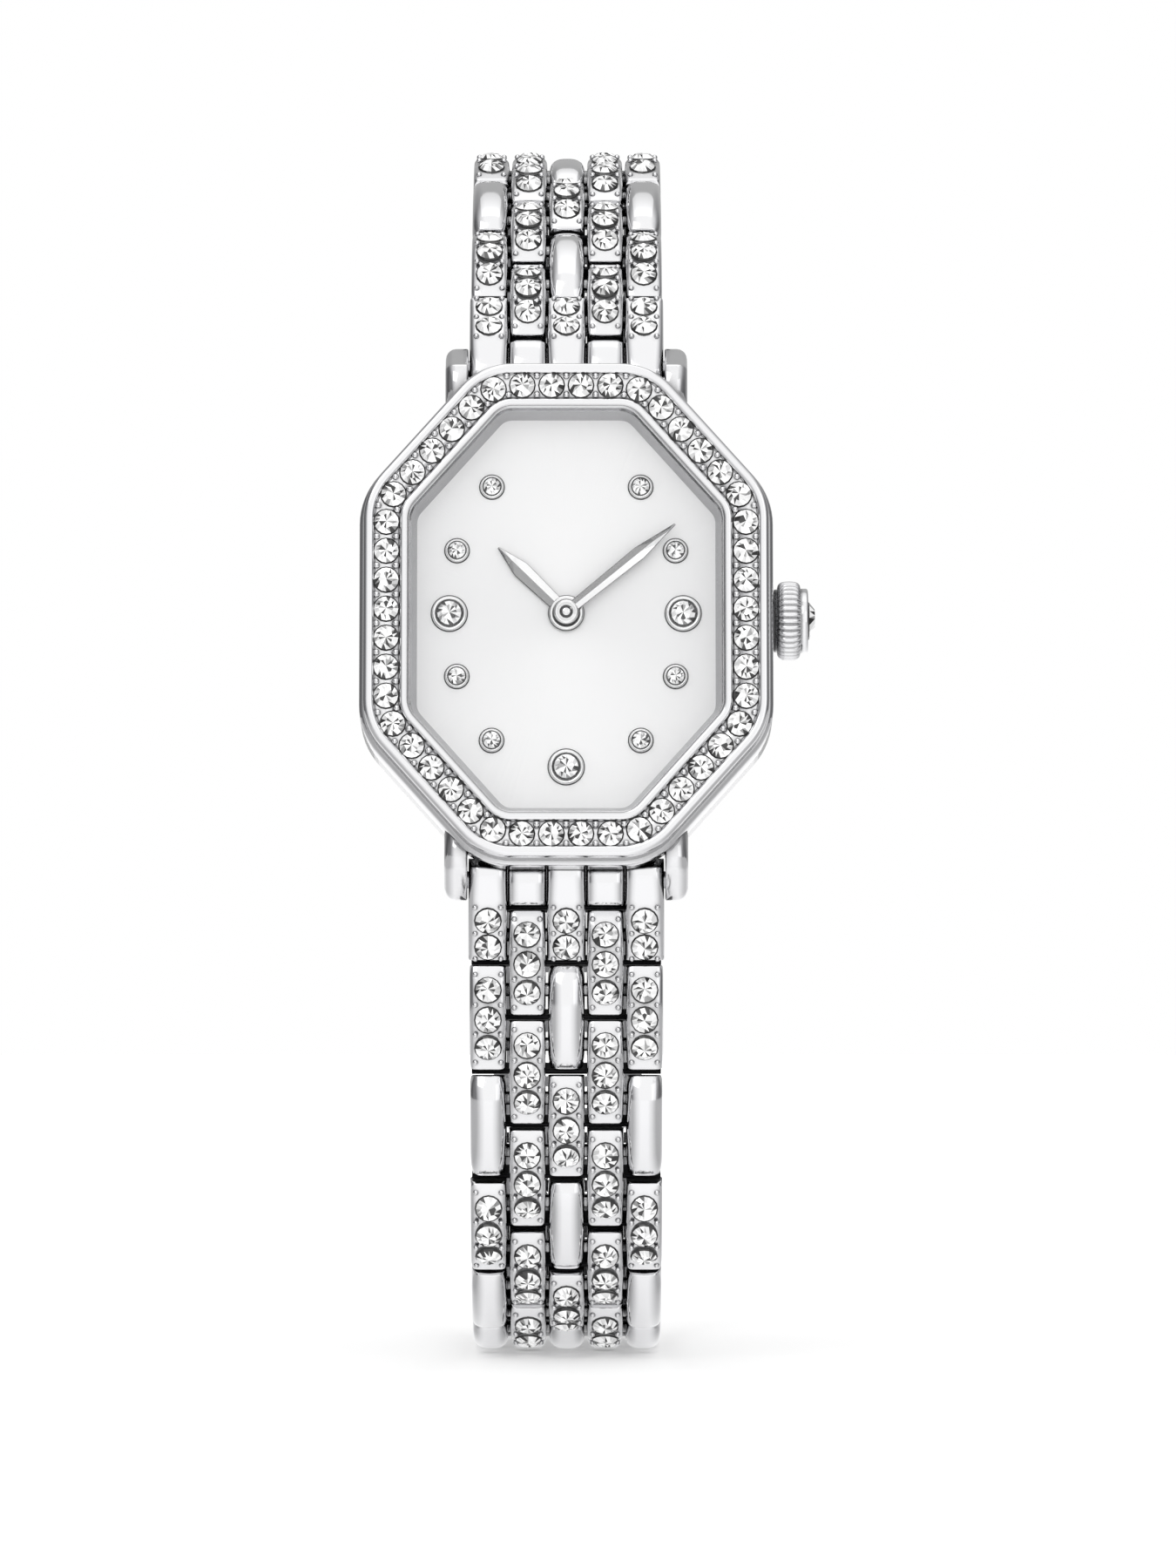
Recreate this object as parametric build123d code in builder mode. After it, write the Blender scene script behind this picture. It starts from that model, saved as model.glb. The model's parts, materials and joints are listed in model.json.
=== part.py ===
from build123d import *
from math import asin, atan2, cos, degrees, hypot, radians, sin, sqrt
import os

# Head outline, an elongated octagon with rounded corners
case_width = 24.0
case_height = 29.5
corner_cut_x = 6.95
corner_cut_y = 7.8
outline_radius = 4.3
head_lean = 9

# Heights above the case back's outer face
back_thickness = 0.9
case_bottom = 0.45
case_top = 5.5
gasket_thickness = 0.25
spring_bar_height = 2.2
stem_height = 3.05

# Distances inwards from the case outline
recess_inset = 1.2
cavity_inset = 2.0
bezel_inset = 0.3
spigot_wall = 0.8
fit_gap = 0.05
overrun = 1.0

# Case flank and lugs
flank_fillet = 0.5
lug_gap = 11.5
lug_thickness = 1.3
lug_end_radius = 1.2
lug_root = 2.6
lug_rise = 0.6
spring_bar_reach = 15.1
spring_bar_radius = 0.5
spring_tip_length = 0.7
end_link_pocket_depth = 1.3
end_link_pocket_rise = 1.7

# Bezel, its stone channel and stones
bezel_height = 1.85
rim_slope = 0.3
rim_drop = 0.45
channel_width = 1.56
channel_depth = 0.85
girdle_depth = 0.2
bezel_width = 2.45
bezel_stone_inset = 1.6
bezel_stone_diameter = 1.5
bezel_stone_count = 46

# Dial, its sloped ring, markers and crystal
dial_thickness = 0.4
dial_margin = 0.1
dial_post_hole_radius = 0.75
ring_height = 1.0
ring_foot_width = 0.6
ring_land = 0.2
crystal_thickness = 1.0
crystal_chamfer = 0.15
marker_ring_width = 13.55
marker_ring_height = 18.0
small_marker_shares = [(0.637, 0.828), (0.935, 0.411), (0.935, -0.411), (0.637, -0.828)]
large_marker_shares = [(1, 0), (-1, 0), (0, -1)]
large_cup_diameter = 1.95
large_marker_diameter = 1.65
small_cup_diameter = 1.38
small_marker_diameter = 1.15
cup_rise = 0.25
cup_sides = 12

# Hands, turned clockwise from twelve o'clock
hour_hand_length = 5.5
hour_hand_angle = 314.3
minute_hand_length = 8.15
minute_hand_angle = 50.7
hour_hand_width = 0.95
minute_hand_width = 0.75
hand_neck_width = 0.42
hand_tail_share = 0.42
hand_thickness = 0.16
hand_edge_thickness = 0.07
hour_hub_radius = 1.02
minute_hub_radius = 0.72
hour_hand_air = 0.2
minute_hand_air = 0.6
centre_post_radius = 0.2
cannon_radius = 0.32
hour_tube_radius = 0.6
running_gap = 0.04

# Movement, battery and holder
movement_width = 13.0
movement_height = 15.4
movement_radius = 3.5
movement_thickness = 3.0
battery_radius = 3.4
battery_thickness = 2.0
battery_offset_x = 2.3
battery_offset_y = 3.6
stem_radius = 0.45
stem_groove_radius = 0.3
stem_groove_width = 0.5
stem_depth = 2.2
groove_depth = 1.6
slider_thickness = 0.4
slider_width = 1.9
slider_height = 1.1
crown_pull = 0.8

# Crown and its tube, measured along the stem from the case flank
crown_tube_radius = 1.05
crown_tube_reach = 0.75
crown_gap = 0.08
crown_neck_radius = 1.83
crown_neck_length = 0.22
crown_radius = 2.25
crown_barrel_length = 1.33
crown_collar_radius = 1.9
crown_collar_length = 0.44
crown_recess_depth = 0.95
crown_flutes = 26
flute_depth = 0.16
crown_stone_diameter = 2.4

# Bracelet links
link_pitch = 3.2
end_link_chord = 3.2
link_gap = 0.3
link_width = 2.0
column_pitch = 2.22
link_outer = 1.3
link_inner = 0.85
link_crown = 0.85
link_edge = 0.3
pin_radius = 0.4
pin_play = 0.05
pin_sides = 6
link_stone_diameter = 1.5
link_stone_pitch = 1.62
end_link_core = 1.0
end_link_round = 1.25
finger_stones = 2

# Brilliant cut, as shares of the stone's diameter
table_share = 0.56
crown_share = 0.16
pavilion_share = 0.36
stone_sides = 6
seat_gap = 0.02
stone_lift = 0.03

# Direction of each chord, in degrees away from straight up or straight down
upper_tilts = [28, 45, 49, 53, 60, 69, 80, 91, 102, 116, 131, 146, 159, 168]
lower_tilts = [3, 5, 7, 10, 15, 22, 32, 44, 57, 70, 82, 90, 90, 90, 98, 110, 126, 143, 158, 168]
stone_rows = 9

# Fold-over clasp
clasp_bulge = 2.0
clasp_body_share = 0.6
clasp_opening = 0.6
clasp_floor = 0.7
clasp_wall = 0.8
clasp_rail = 0.55
clasp_cover_thickness = 0.7
clasp_hinge_reach = 3.4
clasp_hinge_radius = 0.55
clasp_pin_radius = 0.28
clasp_hook_radius = 0.35
clasp_hook_reach = 3.0
clasp_lip = 0.5
ladder_width = 9.2
ladder_rail = 1.2
ladder_rungs = 4
rung_width = 0.9
ladder_thickness = 1.3

# Worked out from the sizes above
half_width = case_width / 2
half_height = case_height / 2
half_pitch = link_pitch / 2
link_reach = half_pitch - link_gap / 2
link_half_length = half_pitch + link_reach
link_foot = half_pitch + sqrt(link_reach**2 - link_inner**2)
link_shoulder = link_outer - link_crown
bracelet_width = 4 * column_pitch + link_width
bezel_top = case_top + bezel_height
dial_top = case_top
movement_top = dial_top - dial_thickness
movement_bottom = movement_top - movement_thickness
stem_end = movement_width / 2 - stem_depth
groove_place = movement_width / 2 - groove_depth
recess_top = back_thickness + gasket_thickness
spring_bar_length = lug_gap + 2 * (spring_tip_length - fit_gap)
outer_columns = [-2 * column_pitch, 0, 2 * column_pitch]
inner_columns = [-column_pitch, column_pitch]
side_columns = [-2 * column_pitch, 2 * column_pitch]

head = Plane(origin=(0, 0, 0), x_dir=(1, 0, 0),
             z_dir=(0, -cos(radians(head_lean)), sin(radians(head_lean))))
pieces = {}


def keep(name, part):
    """Files a finished piece under its name, to be written at the end."""
    part.label = name
    pieces[name] = part


def head_side(x):
    """The plane across the head at x: its own x runs towards twelve, its own y out of the dial."""
    return Plane(origin=head.from_local_coords((x, 0, 0)), x_dir=head.y_dir, z_dir=head.x_dir)


def stem_plane(x):
    """The plane square to the stem at x, facing out of the case."""
    return Plane(origin=head.from_local_coords((x, 0, stem_height)),
                 x_dir=head.y_dir, z_dir=head.x_dir)


def octagon_points(inset):
    """Corners of the case outline, drawn in by inset on every side."""
    x, y = half_width - inset, half_height - inset
    slant = corner_cut_y * (half_width - corner_cut_x) + corner_cut_x * half_height
    slant -= inset * hypot(corner_cut_x, corner_cut_y)
    top_x = (slant - corner_cut_x * y) / corner_cut_y
    side_y = (slant - corner_cut_y * x) / corner_cut_x
    return [(top_x, y), (x, side_y), (x, -side_y), (top_x, -y),
            (-top_x, -y), (-x, -side_y), (-x, side_y), (-top_x, y)]


def octagon(inset, mode=Mode.ADD):
    """The head's outline drawn in by inset, with sharp corners once they have run out."""
    with BuildLine() as outline:
        if inset < outline_radius:
            FilletPolyline(*octagon_points(inset), close=True, radius=outline_radius - inset)
        else:
            Polyline(*octagon_points(inset), close=True)
    make_face(outline.edges(), mode=mode)


def chain(start, chords, tilts, rise):
    """Pins of a row of links as (y, z): each chord leans back by its tilt."""
    pins = [start]
    for chord, tilt in zip(chords, tilts):
        y, z = pins[-1]
        pins.append((y + chord * sin(radians(tilt)), z + rise * chord * cos(radians(tilt))))
    return pins


def side_plane(start, end):
    """The plane across a link: its own x runs from pin to pin, its own y out of the loop."""
    along = Vector(0, end[0] - start[0], end[1] - start[1]).normalized()
    across = 1 if start[1] + end[1] > 0 else -1
    middle = Vector(0, (start[0] + end[0]) / 2, (start[1] + end[1]) / 2)
    return Plane(origin=middle, x_dir=along, z_dir=(across, 0, 0))


def stone_corners(radius, height):
    """The corners of a stone at one height over its girdle."""
    turns = [radians(360 / stone_sides * number) for number in range(stone_sides)]
    return [(radius * cos(turn), radius * sin(turn), height) for turn in turns]


def brilliant(diameter):
    """A brilliant on its girdle: flat table, sloped crown above and pointed pavilion below."""
    with BuildPart() as stone:
        ConvexPolyhedron([*stone_corners(diameter / 2, 0), (0, 0, -pavilion_share * diameter),
                          *stone_corners(table_share * diameter / 2, crown_share * diameter)])
    return stone.part


def pavilion(diameter):
    """The pointed underside of a brilliant, which is also the shape of its seat."""
    with BuildPart() as point:
        ConvexPolyhedron([*stone_corners(diameter / 2, 0), (0, 0, -pavilion_share * diameter)])
    return point.part


def seat(diameter):
    """The hollow that takes a brilliant, a little larger all round."""
    return pavilion(diameter + 2 * seat_gap)


def link_outline():
    """Side of a link: three flats outside, one inside, and heels that turn about its pins."""
    half_top = link_stone_pitch / 2
    heel = degrees(asin(link_inner / link_reach))
    with BuildLine() as outline:
        Polyline((-link_half_length, 0), (-link_half_length, link_shoulder),
                 (-half_top, link_outer), (half_top, link_outer),
                 (link_half_length, link_shoulder), (link_half_length, 0))
        CenterArc((half_pitch, 0), link_reach, 0, -heel)
        Line((link_foot, -link_inner), (-link_foot, -link_inner))
        CenterArc((-half_pitch, 0), link_reach, 180 + heel, -heel)
    make_face(outline.edges())


def stone_place(side):
    """The middle of a stone on the crown of a link: on its top flat or on a sloped one."""
    slope = side * atan2(link_crown, link_half_length - link_stone_pitch / 2)
    x = side * link_stone_pitch / 2 * (1 + cos(slope)) + stone_lift * sin(slope)
    y = link_outer - link_stone_pitch / 2 * abs(sin(slope)) + stone_lift * cos(slope)
    return Plane(origin=(x, y, 0), x_dir=(0, 0, 1), z_dir=(sin(slope), cos(slope), 0)).location


link_stones = [stone_place(side) for side in (-1, 0, 1)]


def link(stones, bored):
    """One link about its own middle, set with three stones or plain, bored or solid."""
    with BuildPart() as one:
        with BuildSketch():
            link_outline()
        extrude(amount=link_width / 2, both=True)
        if stones:
            with Locations(*link_stones):
                add(seat(link_stone_diameter), mode=Mode.SUBTRACT)
        else:
            rims = one.faces().filter_by(Axis.Z).edges()
            chamfer([rim for rim in rims if rim.center().Y > link_shoulder], length=link_edge)
        if bored:
            with BuildSketch(Plane.XY.offset(-link_width / 2)):
                with Locations((-half_pitch, 0), (half_pitch, 0)):
                    RegularPolygon(pin_radius + pin_play, pin_sides, major_radius=False)
            extrude(amount=link_width, mode=Mode.SUBTRACT)
    return one.part


def link_row(columns, stone_columns, pinned):
    """The links of one row about its own middle, with the stones set in them and its two pins."""
    plain_link = link(False, not pinned)
    stone_link = link(True, not pinned)
    stone = brilliant(link_stone_diameter)
    with BuildPart() as row:
        for column in columns:
            with Locations((0, 0, column)):
                add(stone_link if column in stone_columns else plain_link)
        if pinned:
            with BuildSketch(Plane.XY.offset(-2 * column_pitch)):
                with Locations((-half_pitch, 0), (half_pitch, 0)):
                    RegularPolygon(pin_radius, pin_sides)
            extrude(amount=4 * column_pitch)
        for column in stone_columns:
            with Locations((0, 0, column)):
                with Locations(*link_stones):
                    add(stone)
    return row.part


def place_rows(side, pins):
    """Writes the rows from the head outwards: two links and three links in turn."""
    for number in range(1, len(pins) - 1):
        if number % 2:
            kind = "two_stones" if number <= stone_rows else "two_plain"
        elif number > stone_rows:
            kind = "three_plain"
        else:
            kind = "three_outer" if number % 4 == 2 else "three_middle"
        with BuildPart() as row:
            with Locations(side_plane(pins[number], pins[number + 1]).location):
                add(row_kinds[kind])
        keep(f"link_row_{side}_{number:02d}", row.part)


def finger_place(tip, number):
    """The middle of a stone on the slope of an end link's finger, counted from the tip."""
    slope = atan2(link_crown, tip)
    back = (number + 0.5) * link_stone_pitch
    x = tip - back * cos(slope) + stone_lift * sin(slope)
    y = link_shoulder + back * sin(slope) + stone_lift * cos(slope)
    return Plane(origin=(x, y, 0), x_dir=(0, 0, 1), z_dir=(sin(slope), cos(slope), 0)).location


def end_link(side, start, end):
    """Joins the bracelet to the lugs: five grooved columns in one, three with stone-set fingers."""
    plane = side_plane(start, end)
    half = end_link_chord / 2
    tip = half + link_reach
    groove = column_pitch - link_width
    with BuildPart() as one:
        with BuildSketch(plane.offset(-bracelet_width / 2)):
            with BuildLine():
                Polyline((-half, link_outer), (0, link_outer),
                         (tip, link_shoulder), (tip, 0),
                         (half + link_foot - half_pitch, -link_inner), (-half, -link_inner),
                         (-half, link_outer))
            make_face()
            with Locations((-half, 0)):
                Circle(end_link_round)
        extrude(amount=bracelet_width)
        for column in (-1.5, -0.5, 0.5, 1.5):
            with BuildSketch(plane.offset(column * column_pitch - groove / 2)):
                with Locations((0, end_link_core)):
                    Rectangle(2 * tip, link_outer, align=(Align.CENTER, Align.MIN))
                with Locations((end_link_round + link_gap - half, 0)):
                    Rectangle(2 * tip, 2 * link_outer, align=(Align.MIN, Align.CENTER))
            extrude(amount=groove, mode=Mode.SUBTRACT)
        for column in inner_columns:
            with BuildSketch(plane.offset(column)):
                with Locations((half - link_reach - link_gap, 0)):
                    Rectangle(2 * tip, 4 * link_outer, align=(Align.MIN, Align.CENTER))
            extrude(amount=column_pitch / 2, both=True, mode=Mode.SUBTRACT)
        with BuildSketch(plane.offset(-2 * column_pitch)):
            with Locations((half, 0)):
                RegularPolygon(pin_radius, pin_sides)
        extrude(amount=4 * column_pitch)
        with BuildSketch(plane.offset(-bracelet_width / 2)):
            with Locations((-half, 0)):
                Circle(spring_bar_radius + running_gap)
        extrude(amount=bracelet_width, mode=Mode.SUBTRACT)
        places = [plane.location * Location((0, 0, column)) * finger_place(tip, number)
                  for column in outer_columns for number in range(finger_stones)]
        with Locations(*places):
            add(seat(link_stone_diameter), mode=Mode.SUBTRACT)
        with Locations(*places):
            add(brilliant(link_stone_diameter))
    keep(f"end_link_{side}", one.part)


def case_middle():
    """The case: an octagonal wall with four horns, pockets for the end links and the stem's hole."""
    with BuildPart() as case:
        with BuildSketch(head.offset(case_bottom)):
            octagon(0)
        extrude(amount=case_top - case_bottom)
        flank = case.faces().sort_by(Axis(head.origin, head.z_dir))[0]
        chamfer(flank.edges(), length=flank_fillet)
        for x in (lug_gap / 2, -lug_gap / 2 - lug_thickness):
            for end in (1, -1):
                with BuildSketch(head_side(x)):
                    with Locations((end * spring_bar_reach, spring_bar_height)):
                        Circle(lug_end_radius)
                    root_y = half_height - lug_root / 2
                    root_z = (case_bottom + lug_rise + case_top - lug_rise) / 2
                    with Locations((end * root_y, root_z)):
                        Rectangle(lug_root, case_top - case_bottom - 2 * lug_rise)
                    make_hull()
                extrude(amount=lug_thickness)
        pocket_y = half_height - end_link_pocket_depth
        for end in (1, -1):
            with BuildSketch(head_side(-lug_gap / 2)):
                with Locations((end * pocket_y, spring_bar_height + end_link_pocket_rise)):
                    Rectangle(spring_bar_reach, case_top,
                              align=(Align.MIN if end > 0 else Align.MAX, Align.MAX))
            extrude(amount=lug_gap, mode=Mode.SUBTRACT)
        with BuildSketch(head.offset(case_bottom)):
            octagon(recess_inset)
        extrude(amount=recess_top - case_bottom, mode=Mode.SUBTRACT)
        with BuildSketch(head.offset(case_bottom)):
            octagon(cavity_inset)
        extrude(amount=case_top - case_bottom, mode=Mode.SUBTRACT)
        with BuildSketch(stem_plane(half_width - cavity_inset - overrun)):
            Circle(crown_tube_radius)
        extrude(amount=cavity_inset + 2 * overrun, mode=Mode.SUBTRACT)
        hole_reach = lug_gap / 2 + spring_tip_length
        for end in (1, -1):
            with BuildSketch(head_side(-hole_reach)):
                with Locations((end * spring_bar_reach, spring_bar_height)):
                    Circle(spring_bar_radius + fit_gap)
            extrude(amount=2 * hole_reach, mode=Mode.SUBTRACT)
    keep("case", case.part)


def case_back():
    """Snap-in back: a flange under the case and a spigot that presses on the movement holder."""
    with BuildPart() as back:
        with BuildSketch(head):
            octagon(recess_inset + fit_gap)
        extrude(amount=back_thickness)
        with BuildSketch(head.offset(back_thickness)):
            octagon(cavity_inset + fit_gap)
            octagon(cavity_inset + spigot_wall, mode=Mode.SUBTRACT)
        extrude(amount=movement_bottom - back_thickness)
    keep("case_back", back.part)
    with BuildPart() as gasket:
        with BuildSketch(head.offset(back_thickness)):
            octagon(recess_inset + fit_gap)
            octagon(cavity_inset + fit_gap, mode=Mode.SUBTRACT)
        extrude(amount=gasket_thickness)
    keep("back_gasket", gasket.part)


def bezel_stone_places():
    """Even places along each half of the stone channel, from half a step beside twelve o'clock."""
    corners = octagon_points(bezel_stone_inset)
    top_y = corners[0][1]
    with BuildLine() as half:
        FilletPolyline((0, top_y), *corners[:4], (0, -top_y),
                       radius=outline_radius - bezel_stone_inset)
    line = half.wire()
    girdle_plane = head.offset(bezel_top - girdle_depth)
    count = bezel_stone_count // 2
    places = []
    for number in range(count):
        spot = line @ ((number + 0.5) / count)
        places += [girdle_plane.location * Location((x, spot.Y, 0)) for x in (spot.X, -spot.X)]
    return places


def bezel():
    """Polished rim and inner lip, with the channel between them that holds the row of stones."""
    places = bezel_stone_places()
    with BuildPart() as ring:
        with BuildSketch(head.offset(case_top)):
            octagon(bezel_inset)
            octagon(bezel_inset + bezel_width, mode=Mode.SUBTRACT)
        extrude(amount=bezel_height)
        top = ring.faces().sort_by(Axis(head.origin, head.z_dir))[-1]
        chamfer(top.outer_wire().edges(), length=rim_slope, length2=rim_drop)
        with BuildSketch(head.offset(bezel_top - channel_depth)):
            octagon(bezel_stone_inset - channel_width / 2)
            octagon(bezel_stone_inset + channel_width / 2, mode=Mode.SUBTRACT)
        extrude(amount=channel_depth + overrun, mode=Mode.SUBTRACT)
    keep("bezel", ring.part)
    with BuildPart() as stones:
        with Locations(*places):
            add(brilliant(bezel_stone_diameter))
    keep("bezel_stones", stones.part)


def marker_places(shares):
    """Marker centres from their shares of the ring that they lie on."""
    return [(x * marker_ring_width / 2, y * marker_ring_height / 2) for x, y in shares]


marker_sets = [
    (marker_places(large_marker_shares), large_cup_diameter, large_marker_diameter),
    (marker_places(small_marker_shares + [(-x, y) for x, y in small_marker_shares]),
     small_cup_diameter, small_marker_diameter),
]


def dial_and_ring():
    """The dial plate, the sloped ring on its edge, and the crystal that sits on the ring."""
    opening = bezel_inset + bezel_width
    with BuildPart() as dial:
        with BuildSketch(head.offset(movement_top)):
            octagon(cavity_inset + dial_margin)
            Circle(dial_post_hole_radius, mode=Mode.SUBTRACT)
            for places, cup_diameter, stone_diameter in marker_sets:
                with Locations(*places):
                    RegularPolygon(cup_diameter / 2 + fit_gap, cup_sides, mode=Mode.SUBTRACT)
        extrude(amount=dial_thickness)
    keep("dial", dial.part)
    with BuildPart() as ring:
        with BuildSketch(head.offset(dial_top)):
            octagon(opening + fit_gap)
        extrude(amount=ring_height)
        with BuildSketch(head.offset(dial_top)):
            octagon(opening + ring_foot_width)
        with BuildSketch(head.offset(dial_top + ring_height)):
            octagon(opening + fit_gap + ring_land)
        loft(mode=Mode.SUBTRACT)
    keep("dial_ring", ring.part)
    with BuildPart() as crystal:
        with BuildSketch(head.offset(dial_top + ring_height)):
            octagon(opening + fit_gap)
        extrude(amount=crystal_thickness)
        top = crystal.faces().sort_by(Axis(head.origin, head.z_dir))[-1]
        chamfer(top.edges(), length=crystal_chamfer)
    keep("crystal", crystal.part)


def markers():
    """Eleven round cups through the dial, each with a stone in it; twelve o'clock stays bare."""
    girdle_plane = head.offset(dial_top + cup_rise)
    with BuildPart() as cups:
        for places, cup_diameter, stone_diameter in marker_sets:
            with BuildSketch(head.offset(movement_top)):
                with Locations(*places):
                    RegularPolygon(cup_diameter / 2, cup_sides)
            extrude(amount=dial_thickness + cup_rise)
            with Locations(*[girdle_plane.location * Location((x, y, 0)) for x, y in places]):
                add(seat(stone_diameter), mode=Mode.SUBTRACT)
    keep("marker_cups", cups.part)
    with BuildPart() as stones:
        for places, cup_diameter, stone_diameter in marker_sets:
            with Locations(*[girdle_plane.location * Location((x, y, 0)) for x, y in places]):
                add(brilliant(stone_diameter))
    keep("marker_stones", stones.part)


def leaf_hand(height, length, width, hub_radius, hole_radius, angle):
    """A leaf-shaped hand with a ridge along its middle, and a round hub."""
    turned = Plane(head.offset(height).location * Location((0, 0, 0), (0, 0, -angle)))
    belly = hand_tail_share * length
    with BuildPart() as hand:
        with BuildSketch(turned):
            with BuildLine():
                Polyline((hand_neck_width / 2, 0), (width / 2, belly), (0, length),
                         (-width / 2, belly), (-hand_neck_width / 2, 0), close=True)
            make_face()
        extrude(amount=hand_thickness)
        roof_plane = Plane(origin=turned.origin, x_dir=turned.x_dir, z_dir=-turned.y_dir)
        with BuildSketch(roof_plane):
            with BuildLine():
                Polyline((-width / 2, 0), (width / 2, 0), (width / 2, hand_edge_thickness),
                         (0, hand_thickness), (-width / 2, hand_edge_thickness), close=True)
            make_face()
        extrude(amount=-length, mode=Mode.INTERSECT)
        with BuildSketch(turned):
            Circle(hub_radius)
        extrude(amount=hand_thickness)
        with BuildSketch(turned):
            Circle(hole_radius)
        extrude(amount=hand_thickness, mode=Mode.SUBTRACT)
    return hand.part


def hands():
    """Hour hand on its tube, minute hand on the cannon pinion, both about the centre post."""
    hour_height = dial_top + hour_hand_air
    minute_height = dial_top + minute_hand_air
    tube_bottom = movement_top + running_gap
    hour = leaf_hand(hour_height, hour_hand_length, hour_hand_width,
                     hour_hub_radius, hour_tube_radius, hour_hand_angle)
    keep("hour_hand", hour)
    with BuildPart() as hour_tube:
        with BuildSketch(head.offset(tube_bottom)):
            Circle(hour_tube_radius)
            Circle(cannon_radius + running_gap, mode=Mode.SUBTRACT)
        extrude(amount=hour_height + hand_thickness - tube_bottom)
    keep("hour_tube", hour_tube.part)
    minute = leaf_hand(minute_height, minute_hand_length, minute_hand_width,
                       minute_hub_radius, cannon_radius, minute_hand_angle)
    keep("minute_hand", minute)
    with BuildPart() as cannon:
        with BuildSketch(head.offset(tube_bottom)):
            Circle(cannon_radius)
            Circle(centre_post_radius + running_gap, mode=Mode.SUBTRACT)
        extrude(amount=minute_height + hand_thickness - tube_bottom)
    keep("cannon_pinion", cannon.part)
    return minute_height + hand_thickness


def movement(post_top):
    """Quartz movement: a plate with the centre post, a battery pocket and the stem's hole."""
    pocket_x, pocket_y = -battery_offset_x, -battery_offset_y
    with BuildPart() as plate:
        with BuildSketch(head.offset(movement_bottom)):
            RectangleRounded(movement_width, movement_height, movement_radius)
        extrude(amount=movement_thickness)
        with BuildSketch(head.offset(movement_bottom)):
            with Locations((pocket_x, pocket_y)):
                Circle(battery_radius + fit_gap)
        extrude(amount=battery_thickness, mode=Mode.SUBTRACT)
        with BuildSketch(stem_plane(stem_end - overrun)):
            Circle(stem_radius + running_gap)
        extrude(amount=movement_width, mode=Mode.SUBTRACT)
        slot = slider_thickness + crown_pull + 2 * fit_gap
        slot_start = groove_place - slider_thickness / 2 - fit_gap
        with BuildSketch(head.offset(movement_bottom)):
            with Locations((slot_start, 0)):
                Rectangle(slot, slider_width + 2 * fit_gap, align=(Align.MIN, Align.CENTER))
        slot_depth = stem_height + stem_radius + running_gap - movement_bottom
        extrude(amount=slot_depth, mode=Mode.SUBTRACT)
        with BuildSketch(head.offset(movement_top)):
            Circle(centre_post_radius)
        extrude(amount=post_top - movement_top)
    keep("movement", plate.part)
    with BuildPart() as battery:
        with BuildSketch(head.offset(movement_bottom)):
            with Locations((pocket_x, pocket_y)):
                Circle(battery_radius)
        extrude(amount=battery_thickness)
    keep("battery", battery.part)
    with BuildPart() as holder:
        with BuildSketch(head.offset(movement_bottom)):
            octagon(cavity_inset + fit_gap)
            RectangleRounded(movement_width + 2 * fit_gap, movement_height + 2 * fit_gap,
                             movement_radius + fit_gap, mode=Mode.SUBTRACT)
        extrude(amount=movement_thickness)
        with BuildSketch(stem_plane(0)):
            Circle(crown_tube_radius + fit_gap)
        extrude(amount=half_width, mode=Mode.SUBTRACT)
    keep("movement_holder", holder.part)
    with BuildPart() as slider:
        with BuildSketch(stem_plane(groove_place - slider_thickness / 2)):
            with Locations((0, stem_radius)):
                Rectangle(slider_width, slider_height, align=(Align.CENTER, Align.MAX))
            Circle(stem_groove_radius + running_gap, mode=Mode.SUBTRACT)
            Rectangle(2 * (stem_groove_radius + running_gap), stem_radius,
                      align=(Align.CENTER, Align.MIN), mode=Mode.SUBTRACT)
        extrude(amount=slider_thickness)
    keep("setting_slider", slider.part)


def crown():
    """Fluted crown with a stone in its end, the stem that carries it, and the case's tube."""
    crown_start = half_width + crown_gap
    barrel_start = crown_start + crown_neck_length
    collar_start = barrel_start + crown_barrel_length
    crown_end = collar_start + crown_collar_length
    tube_start = half_width - cavity_inset
    with BuildPart() as tube:
        with BuildSketch(stem_plane(tube_start)):
            Circle(crown_tube_radius)
            Circle(stem_radius + running_gap, mode=Mode.SUBTRACT)
        extrude(amount=cavity_inset + crown_tube_reach)
    keep("crown_tube", tube.part)
    with BuildPart() as knob:
        with BuildSketch(stem_plane(crown_start)):
            Circle(crown_neck_radius)
        extrude(amount=crown_neck_length)
        turn = 360 / crown_flutes
        with BuildSketch(stem_plane(barrel_start)):
            with BuildLine():
                rim = PolarLocations(crown_radius, crown_flutes)
                root = PolarLocations(crown_radius - flute_depth, crown_flutes, turn / 2)
                Polyline(*[spot.position for pair in zip(rim, root) for spot in pair], close=True)
            make_face()
        extrude(amount=crown_barrel_length)
        with BuildSketch(stem_plane(collar_start)):
            Circle(crown_collar_radius)
        extrude(amount=crown_collar_length)
        with BuildSketch(stem_plane(crown_start)):
            Circle(crown_tube_radius + fit_gap)
        extrude(amount=crown_recess_depth, mode=Mode.SUBTRACT)
        with BuildSketch(stem_plane(crown_start + crown_recess_depth)):
            Circle(stem_radius)
        extrude(amount=crown_neck_length, mode=Mode.SUBTRACT)
        with Locations(stem_plane(crown_end).location):
            add(seat(crown_stone_diameter), mode=Mode.SUBTRACT)
    keep("crown", knob.part)
    with BuildPart() as stone:
        with Locations(stem_plane(crown_end).location):
            add(brilliant(crown_stone_diameter))
    keep("crown_stone", stone.part)
    with BuildPart() as stem:
        with BuildSketch(stem_plane(stem_end)):
            Circle(stem_radius)
        extrude(amount=crown_start + crown_recess_depth + crown_neck_length - stem_end)
        with BuildSketch(stem_plane(groove_place - stem_groove_width / 2)):
            Circle(stem_radius)
            Circle(stem_groove_radius, mode=Mode.SUBTRACT)
        extrude(amount=stem_groove_width, mode=Mode.SUBTRACT)
    keep("winding_stem", stem.part)


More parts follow.
